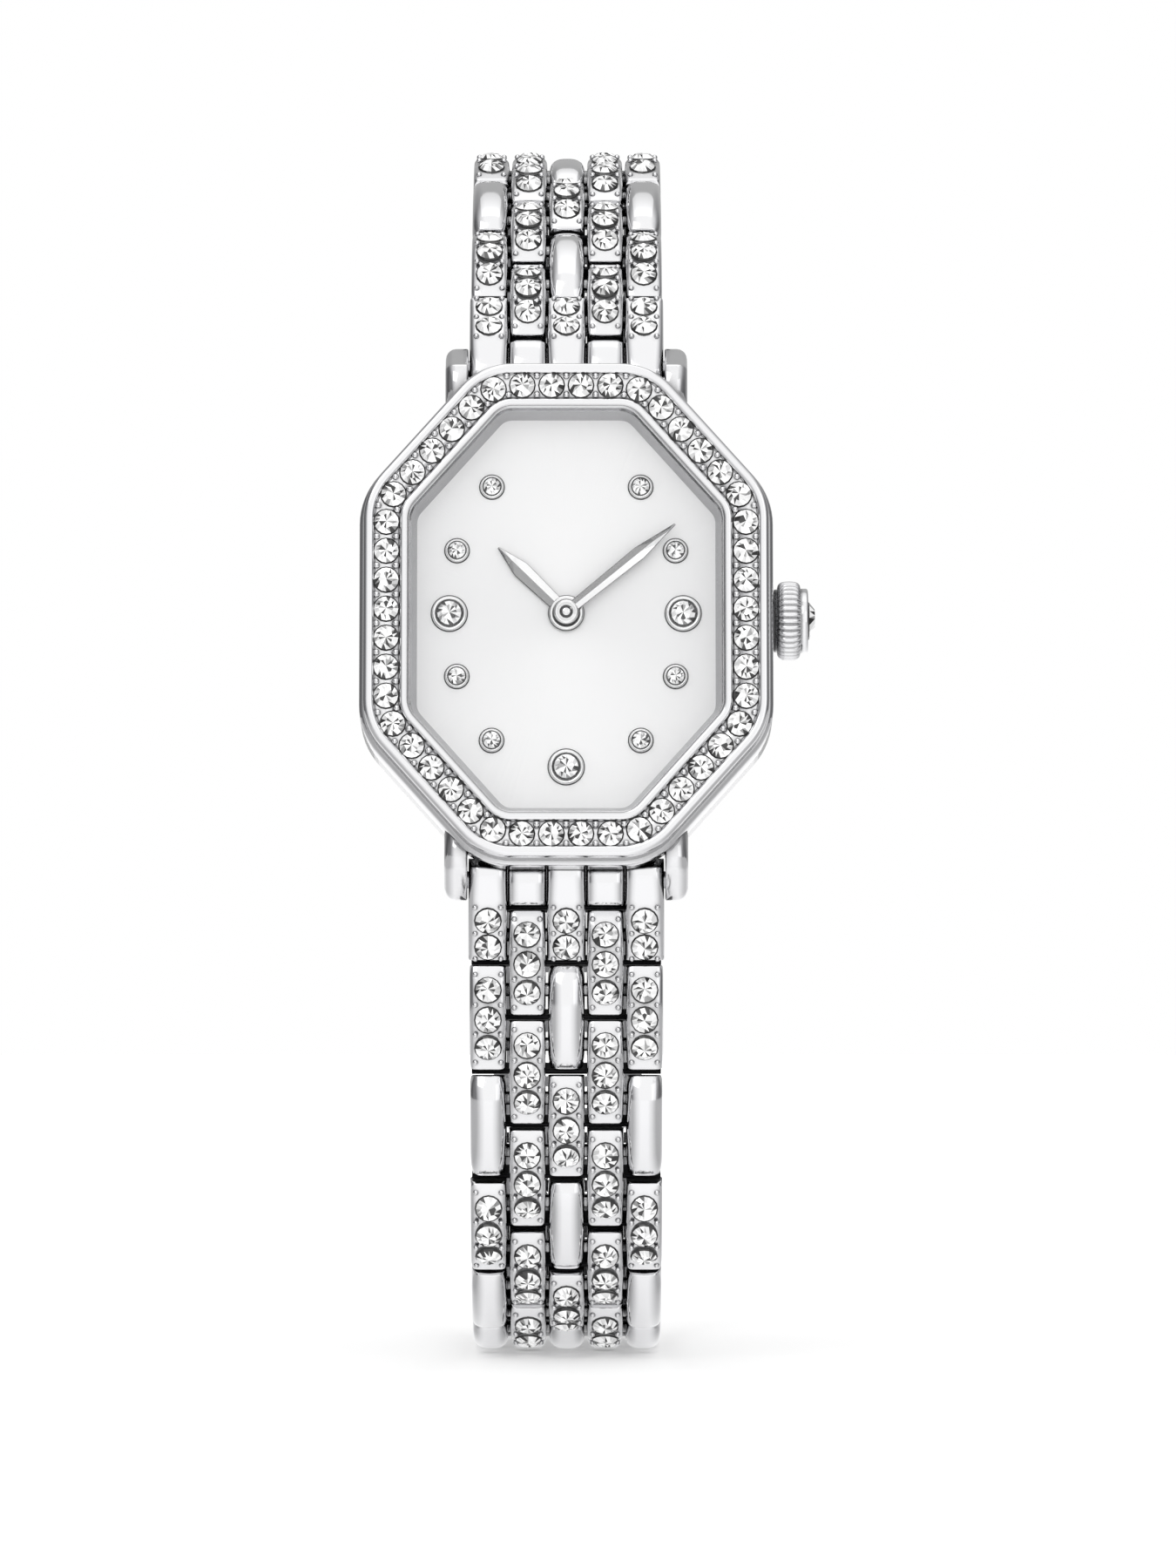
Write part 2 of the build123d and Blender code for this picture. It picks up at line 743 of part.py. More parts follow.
def spring_bars():
    """Two bars between the lugs, with their ends in the lugs' holes."""
    with BuildPart() as bars:
        for end in (1, -1):
            with BuildSketch(head_side(-spring_bar_length / 2)):
                with Locations((end * spring_bar_reach, spring_bar_height)):
                    Circle(spring_bar_radius)
            extrude(amount=spring_bar_length)
    keep("spring_bars", bars.part)


def bowed(chord, x, y):
    """A point of the clasp, whose plates bow outwards between its two pins."""
    return (x, y + clasp_bulge * (1 - (2 * x / chord) ** 2))


def bowed_plate(chord, start, end, low, high, mode=Mode.ADD):
    """The side of a bowed plate from start to end, between the heights low and high."""
    middle = (start + end) / 2
    with BuildLine() as outline:
        bottom = ThreePointArc(bowed(chord, start, low), bowed(chord, middle, low),
                               bowed(chord, end, low))
        top = ThreePointArc(bowed(chord, start, high), bowed(chord, middle, high),
                            bowed(chord, end, high))
        Line(bottom @ 0, top @ 0)
        Line(bottom @ 1, top @ 1)
    make_face(outline.edges(), mode=mode)


def clasp_fingers(plane, pin_x, block_x):
    """Three fingers from a clasp half to its link row, and the pin between them."""
    for column in outer_columns:
        with BuildSketch(plane.offset(column)) as finger:
            with Locations((pin_x, 0)):
                Circle(link_inner + fit_gap)
            reach = block_x - pin_x
            with Locations((pin_x + reach / 2, (link_outer - link_inner) / 2)):
                Rectangle(abs(reach), link_outer + link_inner)
        extrude(finger.sketch, amount=link_width / 2, both=True)
    with BuildSketch(plane.offset(-2 * column_pitch)) as pin:
        with Locations((pin_x, 0)):
            RegularPolygon(pin_radius, pin_sides)
    extrude(pin.sketch, amount=4 * column_pitch)


def clasp(upper_pin, lower_pin):
    """Fold-over clasp: a tray with a hinged cover on the upper half, a ladder on the lower."""
    plane = side_plane(upper_pin, lower_pin)
    plane = Plane(origin=plane.origin, x_dir=plane.x_dir, z_dir=(1, 0, 0))
    chord = hypot(upper_pin[0] - lower_pin[0], upper_pin[1] - lower_pin[1])
    clear = link_reach + link_gap
    start = -chord / 2 + clear
    split = (clasp_body_share - 0.5) * chord
    hinge_x = -chord / 2 + clasp_hinge_reach
    wall_top = link_outer - clasp_cover_thickness - fit_gap
    hinge = bowed(chord, hinge_x, link_outer - clasp_hinge_radius)
    block_end = hinge_x - clasp_hinge_radius - 4 * fit_gap
    side = Plane(origin=plane.origin, x_dir=plane.x_dir, z_dir=plane.z_dir)
    half = bracelet_width / 2
    inner = half - clasp_wall
    with BuildPart() as tray:
        with BuildSketch(side.offset(-half)):
            bowed_plate(chord, start, block_end, -link_inner, link_outer)
            bowed_plate(chord, block_end, split, -link_inner, wall_top)
        extrude(amount=bracelet_width)
        with BuildSketch(side.offset(-inner)):
            bowed_plate(chord, block_end, split + overrun, clasp_floor - link_inner,
                        wall_top + overrun)
        extrude(amount=2 * inner, mode=Mode.SUBTRACT)
        for x in (-half, inner):
            with BuildSketch(side.offset(x)):
                with Locations(hinge):
                    Circle(clasp_hinge_radius)
                    Rectangle(hinge_x - block_end, 2 * clasp_hinge_radius,
                              align=(Align.MAX, Align.CENTER))
            extrude(amount=clasp_wall)
        with BuildSketch(side.offset(-inner)):
            with Locations(bowed(chord, split - clasp_hook_reach, 0)):
                Circle(clasp_hook_radius)
        extrude(amount=2 * inner)
        clasp_fingers(side, -chord / 2, start)
        with BuildSketch(side.offset(-inner)):
            with Locations(hinge):
                Circle(clasp_pin_radius)
        extrude(amount=2 * inner)
    keep("clasp_tray", tray.part)
    cover_start = hinge_x + clasp_hinge_radius + fit_gap
    with BuildPart() as cover:
        with BuildSketch(side.offset(-half)):
            bowed_plate(chord, cover_start, split, wall_top + fit_gap, link_outer)
        extrude(amount=bracelet_width)
        with BuildSketch(side.offset(fit_gap - inner)):
            bowed_plate(chord, hinge_x, cover_start, wall_top + fit_gap, link_outer)
            with Locations(hinge):
                Circle(clasp_hinge_radius)
        extrude(amount=2 * (inner - fit_gap))
        with BuildSketch(side.offset(fit_gap - inner)):
            bowed_plate(chord, split - clasp_lip, split, clasp_lip, wall_top + 2 * fit_gap)
        extrude(amount=2 * (inner - fit_gap))
        with BuildSketch(side.offset(-half)):
            with Locations(hinge):
                Circle(clasp_pin_radius + running_gap)
        extrude(amount=bracelet_width, mode=Mode.SUBTRACT)
    keep("clasp_cover", cover.part)
    ladder_start = split + clasp_opening
    ladder_end = chord / 2 - clear
    ladder_low = clasp_floor - link_inner + fit_gap
    block_start = ladder_end - clasp_rail
    with BuildPart() as ladder:
        with BuildSketch(side.offset(-ladder_width / 2)):
            bowed_plate(chord, ladder_start, block_start, ladder_low,
                        ladder_low + ladder_thickness)
        extrude(amount=ladder_width)
        with BuildSketch(side.offset(-half)):
            bowed_plate(chord, block_start, ladder_end, -link_inner, link_outer)
        extrude(amount=bracelet_width)
        step = (block_start - ladder_start) / ladder_rungs
        for number in range(ladder_rungs):
            with BuildSketch(side.offset(ladder_rail - ladder_width / 2)):
                window = ladder_start + number * step + rung_width
                bowed_plate(chord, window, ladder_start + (number + 1) * step,
                            ladder_low - overrun, ladder_low + ladder_thickness + overrun)
            extrude(amount=ladder_width - 2 * ladder_rail, mode=Mode.SUBTRACT)
        clasp_fingers(side, chord / 2, ladder_end)
    keep("clasp_ladder", ladder.part)
    return plane.from_local_coords((hinge[0], hinge[1], 0))


def lug_pin(end):
    """Where a spring bar crosses the middle plane, as (y, z)."""
    spot = head.from_local_coords((0, end * spring_bar_reach, spring_bar_height))
    return (spot.Y, spot.Z)


upper_chords = [end_link_chord] + [link_pitch] * (len(upper_tilts) - 1)
lower_chords = [end_link_chord] + [link_pitch] * (len(lower_tilts) - 1)
upper_pins = chain(lug_pin(1), upper_chords, upper_tilts, 1)
lower_pins = chain(lug_pin(-1), lower_chords, lower_tilts, -1)
row_kinds = {
    "two_stones": link_row(inner_columns, inner_columns, False),
    "two_plain": link_row(inner_columns, [], False),
    "three_outer": link_row(outer_columns, side_columns, True),
    "three_middle": link_row(outer_columns, [0], True),
    "three_plain": link_row(outer_columns, [], True),
}

case_middle()
case_back()
bezel()
dial_and_ring()
markers()
movement(hands())
crown()
spring_bars()
end_link("upper", *upper_pins[:2])
end_link("lower", *lower_pins[:2])
place_rows("upper", upper_pins)
place_rows("lower", lower_pins)
clasp_hinge = clasp(upper_pins[-1], lower_pins[-1])

# The origin is the middle of the underside that the watch stands on
whole = Compound(children=[part.moved(Location()) for part in pieces.values()]).bounding_box()
home = Location((-whole.center().X, -whole.center().Y, -whole.min.Z))

os.makedirs("parts", exist_ok=True)
for name, part in pieces.items():
    placed = part.moved(home)
    placed.label = name
    export_step(placed, f"parts/{name}.step")
print("nodes", len(pieces), "loop height", round(whole.size.Z, 2), "depth", round(whole.size.Y, 2))
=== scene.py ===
import json
import bpy
import numpy as np
from mathutils import Matrix, Vector


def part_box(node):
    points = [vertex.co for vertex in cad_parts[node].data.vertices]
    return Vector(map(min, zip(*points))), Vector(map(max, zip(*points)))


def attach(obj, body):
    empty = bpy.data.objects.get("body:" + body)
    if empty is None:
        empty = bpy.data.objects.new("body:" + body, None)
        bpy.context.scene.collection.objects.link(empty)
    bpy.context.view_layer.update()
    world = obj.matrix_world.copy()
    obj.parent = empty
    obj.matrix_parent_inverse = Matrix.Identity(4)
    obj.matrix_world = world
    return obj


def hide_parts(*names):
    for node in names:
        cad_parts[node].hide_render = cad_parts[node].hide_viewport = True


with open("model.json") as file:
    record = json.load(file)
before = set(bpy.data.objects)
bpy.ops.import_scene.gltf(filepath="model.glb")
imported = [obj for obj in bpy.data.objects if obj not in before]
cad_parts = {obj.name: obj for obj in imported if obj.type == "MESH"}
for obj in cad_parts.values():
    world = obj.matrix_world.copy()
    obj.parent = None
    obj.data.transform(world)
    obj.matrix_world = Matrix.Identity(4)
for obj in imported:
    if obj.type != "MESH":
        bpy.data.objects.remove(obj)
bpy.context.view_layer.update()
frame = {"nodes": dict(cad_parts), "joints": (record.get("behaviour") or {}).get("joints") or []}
mm = 0.001
joints = {joint["name"]: joint for joint in frame["joints"]}
nodes = frame["nodes"]
print("frame loaded:", len(nodes), "nodes")


def gridFaces(rows, around, closedBoth=False):
    # quads between neighbouring rings of a grid, joined round each ring
    index = np.arange(rows * around).reshape(rows, around)
    turned = np.roll(index, -1, axis=1)
    if closedBoth:
        nextIndex, nextTurned = np.roll(index, -1, axis=0), np.roll(turned, -1, axis=0)
        return np.stack([index, turned, nextTurned, nextIndex], -1).reshape(-1, 4)
    return np.stack([index[:-1], turned[:-1], turned[1:], index[1:]], -1).reshape(-1, 4)


def closedShell(grid):
    # a grid of rings closed by a fan at each end; faces are (quads, triangles)
    rows, around = grid.shape[:2]
    quads = gridFaces(rows, around)
    ring = np.arange(around)
    turned = np.roll(ring, -1)
    last = (rows - 1) * around
    first = np.full(around, rows * around)
    capStart = np.stack([turned, ring, first], -1)
    capEnd = np.stack([last + ring, last + turned, first + 1], -1)
    points = np.concatenate([grid.reshape(-1, 3), grid[:1].mean(1), grid[-1:].mean(1)])
    return outward(points, quads, np.concatenate([capStart, capEnd]))


def closedRing(grid):
    # a grid that closes on itself both ways, as a frame round an opening
    rows, around = grid.shape[:2]
    return outward(grid.reshape(-1, 3), gridFaces(rows, around, True), np.zeros((0, 3), int))


def outward(points, quads, triangles):
    # turns every face over if the signed volume of the shell comes out negative
    corners = np.concatenate([quads[:, [0, 1, 2]], quads[:, [0, 2, 3]], triangles])
    a, b, c = (points[corners[:, k]] for k in range(3))
    if np.einsum("ij,ij->i", a, np.cross(b, c)).sum() < 0:
        quads, triangles = quads[:, ::-1], triangles[:, ::-1]
    return points, quads, triangles


def joined(shells):
    # several shells as one, with their face indices moved along
    points, quads, triangles, count = [], [], [], 0
    for shellPoints, shellQuads, shellTriangles in shells:
        points.append(shellPoints)
        quads.append(shellQuads + count)
        triangles.append(shellTriangles + count)
        count += len(shellPoints)
    return np.concatenate(points), np.concatenate(quads), np.concatenate(triangles)


def copies(shell, frames):
    # the shell set down in each 4x4 frame, all at once
    points, quads, triangles = shell
    frames = np.asarray(frames)
    placed = np.einsum("nij,pj->npi", frames[:, :3, :3], points) + frames[:, None, :3, 3]
    steps = (np.arange(len(frames)) * len(points))[:, None, None]
    return (placed.reshape(-1, 3), (quads[None] + steps).reshape(-1, 4),
            (triangles[None] + steps).reshape(-1, 3))


def turnedGrid(profile, sectors):
    # a profile of (radius, height) turned about z, a ring of points for each; radii may vary round a ring
    turn = np.arange(sectors) * 2 * np.pi / sectors
    return np.array([np.stack([r * np.cos(turn), r * np.sin(turn), z + 0 * turn], -1) for r, z in profile])


def signedPower(values, power):
    # the value's size to the power, with its own sign: it squares off or rounds a circle's outline
    return np.sign(values) * np.abs(values) ** power


def lineAt(line, s):
    # the height at s of a line through (s, height) points
    return np.interp(s, *zip(*line))


def makePiece(name, shell, body, material, stands=(), smooth=True, tones=None):
    # a mesh with its material and body, the CAD nodes it stands for and a tone of painted light and shade for each
    # face
    points, quads, triangles = shell
    mesh = bpy.data.meshes.new(name)
    mesh.from_pydata(points.tolist(), [], quads.tolist() + triangles.tolist())
    mesh.polygons.foreach_set("use_smooth", np.full(len(mesh.polygons), smooth))
    if tones is not None:
        colours = np.ones((len(mesh.loops), 4), np.float32)
        counts = np.concatenate([np.full(len(quads), 4), np.full(len(triangles), 3)])
        colours[:, :3] = np.repeat(tones, counts)[:, None]
        layer = mesh.color_attributes.new(name="paintedFacetLight", type="FLOAT_COLOR", domain="CORNER")
        layer.data.foreach_set("color", colours.ravel())
    mesh.validate()
    piece = bpy.data.objects.new(name, mesh)
    bpy.context.scene.collection.objects.link(piece)
    piece.data.materials.append(material)
    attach(piece, body)
    if stands:
        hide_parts(*stands)


def placeFrame(origin, xAxis, yAxis, zAxis):
    # a 4x4 frame from its origin and its three axes
    matrix = np.eye(4)
    matrix[:3, 0], matrix[:3, 1], matrix[:3, 2], matrix[:3, 3] = xAxis, yAxis, zAxis, origin
    return matrix


def unit(vector):
    # the vector at length 1
    return np.asarray(vector, float) / np.linalg.norm(vector)


def unitRows(vectors):
    # every row at length 1
    return vectors / np.linalg.norm(vectors, axis=1)[:, None]


finishes = {
    # the first four finishes also paint shade into their crevices: within a reach, darker by the depth
    "steel": {"colour": (0.80, 0.80, 0.81), "roughness": 0.09, "grain": 0.02, "shadeReach": 0.0009, "depth": 1.3},
    "links": {"colour": (0.80, 0.80, 0.81), "roughness": 0.10, "grain": 0.02, "shadeReach": 0.0003, "depth": 1.0},
    "bezel": {"colour": (0.80, 0.80, 0.81), "roughness": 0.10, "grain": 0.02, "shadeReach": 0.00016, "depth": 1.0},
    "crown": {"colour": (0.80, 0.80, 0.81), "roughness": 0.10, "grain": 0.02, "shadeReach": 0.0002, "depth": 1.5},
    "satin": {"colour": (0.62, 0.62, 0.64), "roughness": 0.28, "grain": 0.08},
    "rehaut": {"colour": (0.48, 0.48, 0.49), "roughness": 0.22, "grain": 0.05},
    # near-black: painted shade for the gaps between rows
    "shadowPlate": {"colour": (0.02, 0.02, 0.022), "roughness": 0.5, "grain": 0.1},
    "brass": {"colour": (0.72, 0.56, 0.30), "roughness": 0.3, "grain": 0.1},
    "plastic": {"colour": (0.82, 0.82, 0.80), "roughness": 0.45, "grain": 0.1},
    "rubber": {"colour": (0.02, 0.02, 0.02), "roughness": 0.6, "grain": 0.1},
    # the inner side's rougher brushed finish, and its darker colour, which is painted shade
    "innerSide": {"colour": (0.3, 0.3, 0.31), "roughness": 0.4, "from": 0.2, "to": 0.6},
    "toned": {"roughness": 0.12, "grain": 0.02},
    "stone": {"roughness": 0.03, "metallic": 0.35, "paintedGlow": 0.28, "index": 1.9},
    "dial": {"centre": (1.0, 1.0, 1.0), "edge": (0.86, 0.86, 0.865), "metallic": 0.15, "roughness": 0.38,
             "rays": 60.0, "rayShare": 0.45, "fanPairs": 2.0, "fanDepth": 0.28, "fanMean": 0.1},
    "crystal": {"colour": (0.97, 0.98, 1.0), "alpha": 0.03, "roughness": 0.01, "grain": 0.01, "specular": 0.15},
}
# the near-black colour of the painted shade in crevices
paintedShadeColour = (0.015, 0.015, 0.016, 1)
wearScales = {"fine": 900.0, "smudge": 160.0, "stretch": (1.0, 1.0, 0.18)}
# the strength of each fine relief and its depth in metres
reliefs = {"metal": (0.15, 0.00002), "satin": (0.15, 0.00004), "plain": (0.3, 0.00002), "dial": (0.08, 0.00003)}


def feed(tree, node, inputs):
    # each of the node's inputs is linked to another node's output, or takes a plain value
    for key, source in inputs.items():
        if isinstance(source, bpy.types.NodeSocket):
            tree.links.new(source, node.inputs[key])
        else:
            node.inputs[key].default_value = source


def addNode(tree, kind, inputs, **settings):
    # a shader node with its settings and what its inputs take; gives back its outputs
    node = tree.nodes.new("ShaderNode" + kind)
    for name, value in settings.items():
        setattr(node, name, value)
    feed(tree, node, inputs)
    return node.outputs


def mathNode(tree, operation, *values, **settings):
    # one sum on plain values or sockets; gives back the socket with its result
    return addNode(tree, "Math", dict(enumerate(values)), operation=operation, **settings)["Value"]


def vectorNode(tree, operation, *values):
    # the same on vectors; gives back all outputs, as some results are vectors and some are numbers
    return addNode(tree, "VectorMath", dict(enumerate(values)), operation=operation)


def mixNode(tree, share, first, second, kind="RGBA"):
    # the first where the share is 0, the second where it is 1
    return addNode(tree, "Mix", {"Factor": share, "A": first, "B": second}, data_type=kind)["Result"]


def rangeNode(tree, value, fromMin, fromMax, toMin=0.0, toMax=1.0):
    # the value's place between two limits, set between two others and held there
    return addNode(tree, "MapRange", {"Value": value, "From Min": fromMin, "From Max": fromMax,
                                      "To Min": toMin, "To Max": toMax})["Result"]


def surfaceGroup():
    # brushing, smudges and tiny scratches: roughness and height that vary over Object coordinates
    group = bpy.data.node_groups.new("surfaceWear", "ShaderNodeTree")
    for label, value in (("Roughness", 0.1), ("Grain", 0.05), ("Scale", wearScales["fine"])):
        socket = group.interface.new_socket(name=label, in_out="INPUT", socket_type="NodeSocketFloat")
        socket.default_value = value
    for label in ("Roughness", "Height"):
        group.interface.new_socket(name=label, in_out="OUTPUT", socket_type="NodeSocketFloat")
    given = group.nodes.new("NodeGroupInput").outputs
    coords = addNode(group, "TexCoord", {})["Object"]
    stretched = addNode(group, "Mapping", {"Vector": coords, "Scale": wearScales["stretch"]})["Vector"]
    fine = addNode(group, "TexNoise", {"Vector": stretched, "Scale": given["Scale"]})["Fac"]
    smudge = addNode(group, "TexNoise", {"Vector": coords, "Scale": wearScales["smudge"]})["Fac"]
    spread = mathNode(group, "MULTIPLY_ADD", smudge, given["Grain"], given["Roughness"])
    feed(group, group.nodes.new("NodeGroupOutput"), {"Roughness": spread, "Height": fine})
    return group


wear = surfaceGroup()


def newMaterial(name, inputs):
    # a material with constants on its shader's own sockets
    material = bpy.data.materials.new(name)
    material.use_nodes = True
    tree = material.node_tree
    shader = tree.nodes["Principled BSDF"]
    feed(tree, shader, inputs)
    return material, tree, shader


def addRelief(tree, shader, kind, height):
    # a height as a fine relief of this kind
    strength, depth = reliefs[kind]
    bump = addNode(tree, "Bump", {"Strength": strength, "Distance": depth, "Height": height})
    feed(tree, shader, {"Normal": bump["Normal"]})


def addWear(tree, shader, values, kind=None):
    # the shared wear as roughness and, where a kind is given, as a fine relief
    worn = addNode(tree, "Group", {"Roughness": values["roughness"], "Grain": values["grain"]}, node_tree=wear)
    feed(tree, shader, {"Roughness": worn["Roughness"]})
    if kind:
        addRelief(tree, shader, kind, worn["Height"])


def paintCreviceShade(tree, shader, values):
    # painted shade: a mix from nearly black to the metal's colour by (open share) ** depth, where the open share is
    # the ambient occlusion, so crevices and gaps are darkened as if shaded
    hidden = addNode(tree, "AmbientOcclusion", {"Distance": values["shadeReach"]}, samples=4)["AO"]
    openShare = mathNode(tree, "POWER", hidden, values["depth"])
    feed(tree, shader, {"Base Color": mixNode(tree, openShare, paintedShadeColour, (*values["colour"], 1))})


def brushAndShadeInside(tree, shader):
    # the bracelet's inner side is brushed, a rougher finish, and darker where its normal turns to the loop's
    # middle, a darker colour that is painted shade:
    # the share follows the dot product of the normal and the direction to that middle
    values = finishes["innerSide"]
    coords = addNode(tree, "TexCoord", {})
    flat = vectorNode(tree, "MULTIPLY", coords["Object"], (0, 1, 1))["Vector"]
    inwards = vectorNode(tree, "SUBTRACT", (0, *loopMiddle), flat)["Vector"]
    direction = vectorNode(tree, "NORMALIZE", inwards)["Vector"]
    turned = vectorNode(tree, "DOT_PRODUCT", coords["Normal"], direction)["Value"]
    share = rangeNode(tree, turned, values["from"], values["to"])
    for name, inner, kind in (("Base Color", (*values["colour"], 1), "RGBA"),
                              ("Roughness", values["roughness"], "FLOAT")):
        outer = shader.inputs[name].links[0].from_socket
        feed(tree, shader, {name: mixNode(tree, share, outer, inner, kind)})


def metalMaterial(name, finish, kind="metal"):
    # metal with the shared wear, and painted shade in its crevices where its values give a reach for it
    values = finishes[finish]
    material, tree, shader = newMaterial(name, {"Metallic": 1.0, "Base Color": (*values["colour"], 1)})
    if "shadeReach" in values:
        paintCreviceShade(tree, shader, values)
    addWear(tree, shader, values, kind)
    return material


def paintedLightMaterial():
    # polished metal whose colour comes from the mesh as painted light and shade: lit and shaded facets inside a
    # painted dark outline
    material, tree, shader = newMaterial("paintedLightSteel", {"Metallic": 1.0})
    tone = addNode(tree, "Attribute", {}, attribute_name="paintedFacetLight")["Color"]
    feed(tree, shader, {"Base Color": tone})
    addWear(tree, shader, finishes["toned"])
    return material


def stoneMaterial():
    # each facet's painted light comes from the mesh, as the light inside a cut stone breaks up by facet, and the
    # same tone is given off as a painted glow
    values = finishes["stone"]
    material, tree, shader = newMaterial("cutStone", {
        "Emission Strength": values["paintedGlow"], "Metallic": values["metallic"], "Roughness": values["roughness"],
        "IOR": values["index"]})
    tone = addNode(tree, "Attribute", {}, attribute_name="paintedFacetLight")["Color"]
    feed(tree, shader, {"Base Color": tone, "Emission Color": tone})
    return material


def dialMaterial(centre, xAxis, yAxis):
    # fine rays that run out from the hub, as noise over the angle round it, and broad fans of light
    # and shade, cosine of (fanPairs * angle), which together mix the centre's and the edge's colour
    values = finishes["dial"]
    material, tree, shader = newMaterial("sunrayDial", {"Metallic": values["metallic"],
                                                        "Roughness": values["roughness"]})
    turn = Matrix((xAxis, yAxis, np.cross(xAxis, yAxis))).to_4x4()
    shift = -(turn.to_3x3() @ Vector(centre))
    coords = addNode(tree, "TexCoord", {})["Object"]
    mapped = addNode(tree, "Mapping", {"Vector": coords, "Location": shift, "Rotation": turn.to_euler()})["Vector"]
    split = addNode(tree, "SeparateXYZ", {"Vector": mapped})
    angle = mathNode(tree, "ARCTAN2", split["Y"], split["X"])
    rays = addNode(tree, "TexNoise", {"W": angle, "Scale": values["rays"], "Detail": 6.0}, noise_dimensions="1D")
    wave = mathNode(tree, "COSINE", mathNode(tree, "MULTIPLY", angle, values["fanPairs"]))
    share = mathNode(tree, "MULTIPLY_ADD", wave, values["fanDepth"], values["fanMean"])
    total = mathNode(tree, "MULTIPLY_ADD", rays["Fac"], values["rayShare"], share, use_clamp=True)
    feed(tree, shader, {"Base Color": mixNode(tree, total, (*values["centre"], 1), (*values["edge"], 1))})
    addRelief(tree, shader, "dial", rays["Fac"])
    return material


def crystalMaterial():
    # almost clear, with a weak reflection
    values = finishes["crystal"]
    material, tree, shader = newMaterial("clearCrystal", {
        "Base Color": (*values["colour"], 1), "Alpha": values["alpha"], "Specular IOR Level": values["specular"]})
    addWear(tree, shader, values)
    return material


def plainMaterial(name, finish):
    # plastic or rubber with the shared wear
    values = finishes[finish]
    material, tree, shader = newMaterial(name, {"Base Color": (*values["colour"], 1)})
    addWear(tree, shader, values, "plain")
    return material


# the loop's middle as (y, z): halfway between a low and a high pin, 4 mm further back
lowPin, highPin = (np.array(joints[name]["pos_m"]) for name in ("lower_row_12_hinge", "upper_row_07_hinge"))
loopMiddle = ((lowPin + highPin) / 2 + np.array([0, 0.004, 0]))[1:]
steel = metalMaterial("polishedSteel", "steel")
linkSteel = metalMaterial("braceletSteel", "links")
# the inner side brushed rougher, and darkened with painted shade
brushAndShadeInside(linkSteel.node_tree, linkSteel.node_tree.nodes["Principled BSDF"])
bezelSteel = metalMaterial("bezelSteel", "bezel")
crownSteel = metalMaterial("crownSteel", "crown")
# near-black metal that paints the shade in the gaps between rows
shadowPlateSteel = metalMaterial("shadowPlateSteel", "shadowPlate")
# steel whose colour is painted light and shade, read from each face of the mesh
paintedLightSteel = paintedLightMaterial()
rehautSteel = metalMaterial("rehautSteel", "rehaut")
satin = metalMaterial("satinSteel", "satin", "satin")
stoneLook = stoneMaterial()
brassLook = metalMaterial("brass", "brass")
plasticLook = plainMaterial("mouldedPlastic", "plastic")
rubberLook = plainMaterial("blackRubber", "rubber")
crystalLook = crystalMaterial()
print("materials made")

# the head's own axes: across the dial, up it and out of it
dialCentre = np.array(joints["minute_hand_turn"]["pos_m"])
headX = np.array([1.0, 0.0, 0.0])
headOut = -unit(joints["minute_hand_turn"]["axis"])
headUp = unit(np.cross(headOut, headX))
dialLook = dialMaterial(dialCentre, headX, headUp)

head = {
    "width": 24.0, "height": 29.5, "cutX": 6.95, "cutY": 7.8, "cornerRadius": 4.3, "leastRadius": 0.3,
    "bezelTop": 1.85, "bezelInset": 0.27, "bezelWidth": 2.66,
    "stoneInset": 1.6, "stoneCount": 46, "stoneSize": 1.56, "beadSize": 0.40, "beadShift": 0.56,
    "stoneSunk": 0.19, "beadSunk": 0.22, "tangentStep": 0.3,
}


def octagonCorners(inset):
    # the sharp corners; the slanted sides keep cutX * y + cutY * x = slant
    x, y = head["width"] / 2 - inset, head["height"] / 2 - inset
    slant = head["cutY"] * (head["width"] / 2 - head["cutX"]) + head["cutX"] * head["height"] / 2
    slant -= inset * np.hypot(head["cutX"], head["cutY"])
    topX = (slant - head["cutX"] * y) / head["cutY"]
    sideY = (slant - head["cutY"] * x) / head["cutX"]
    return np.array([(topX, y), (x, sideY), (x, -sideY), (topX, -y),
                     (-topX, -y), (-x, -sideY), (-x, sideY), (-topX, y)])


def octagonLoop(inset, perCorner=9):
    # the octagon with each corner rounded: points on an arc about the corner's own centre
    radius = max(head["cornerRadius"] - inset, head["leastRadius"])
    corners = octagonCorners(inset)
    before = unitRows(np.roll(corners, 1, axis=0) - corners)
    after = unitRows(np.roll(corners, -1, axis=0) - corners)
    half = np.arccos((before * after).sum(1)) / 2
    centres = corners + unitRows(before + after) * (radius / np.sin(half))[:, None]
    back = (radius / np.tan(half))[:, None]
    start, end = corners + before * back - centres, corners + after * back - centres
    swing = np.arccos(np.clip((start * end).sum(1) / radius**2, -1, 1))[:, None]
    share = np.linspace(0, 1, perCorner)[None, :]
    a, b = np.sin((1 - share) * swing) / np.sin(swing), np.sin(share * swing) / np.sin(swing)
    arc = a[..., None] * start[:, None] + b[..., None] * end[:, None]
    return (centres[:, None] + arc).reshape(-1, 2)


def headGrid(grid):
    # (x, y) over the dial and z out of it, in millimetres, into the shared frame
    return dialCentre + mm * (grid[..., :1] * headX + grid[..., 1:2] * headUp + grid[..., 2:] * headOut)


def headRing(profile):
    # a profile of (inset, height) carried round the octagon
    loops = [(octagonLoop(inset), height) for inset, height in profile]
    rings = [np.column_stack([line, np.full(len(line), height)]) for line, height in loops]
    return closedRing(headGrid(np.array(rings)))


def headFrame(x, y, z):
    # a frame over the dial with its own z out of it
    return placeFrame(dialCentre + mm * (x * headX + y * headUp + z * headOut), headX, headUp, headOut)


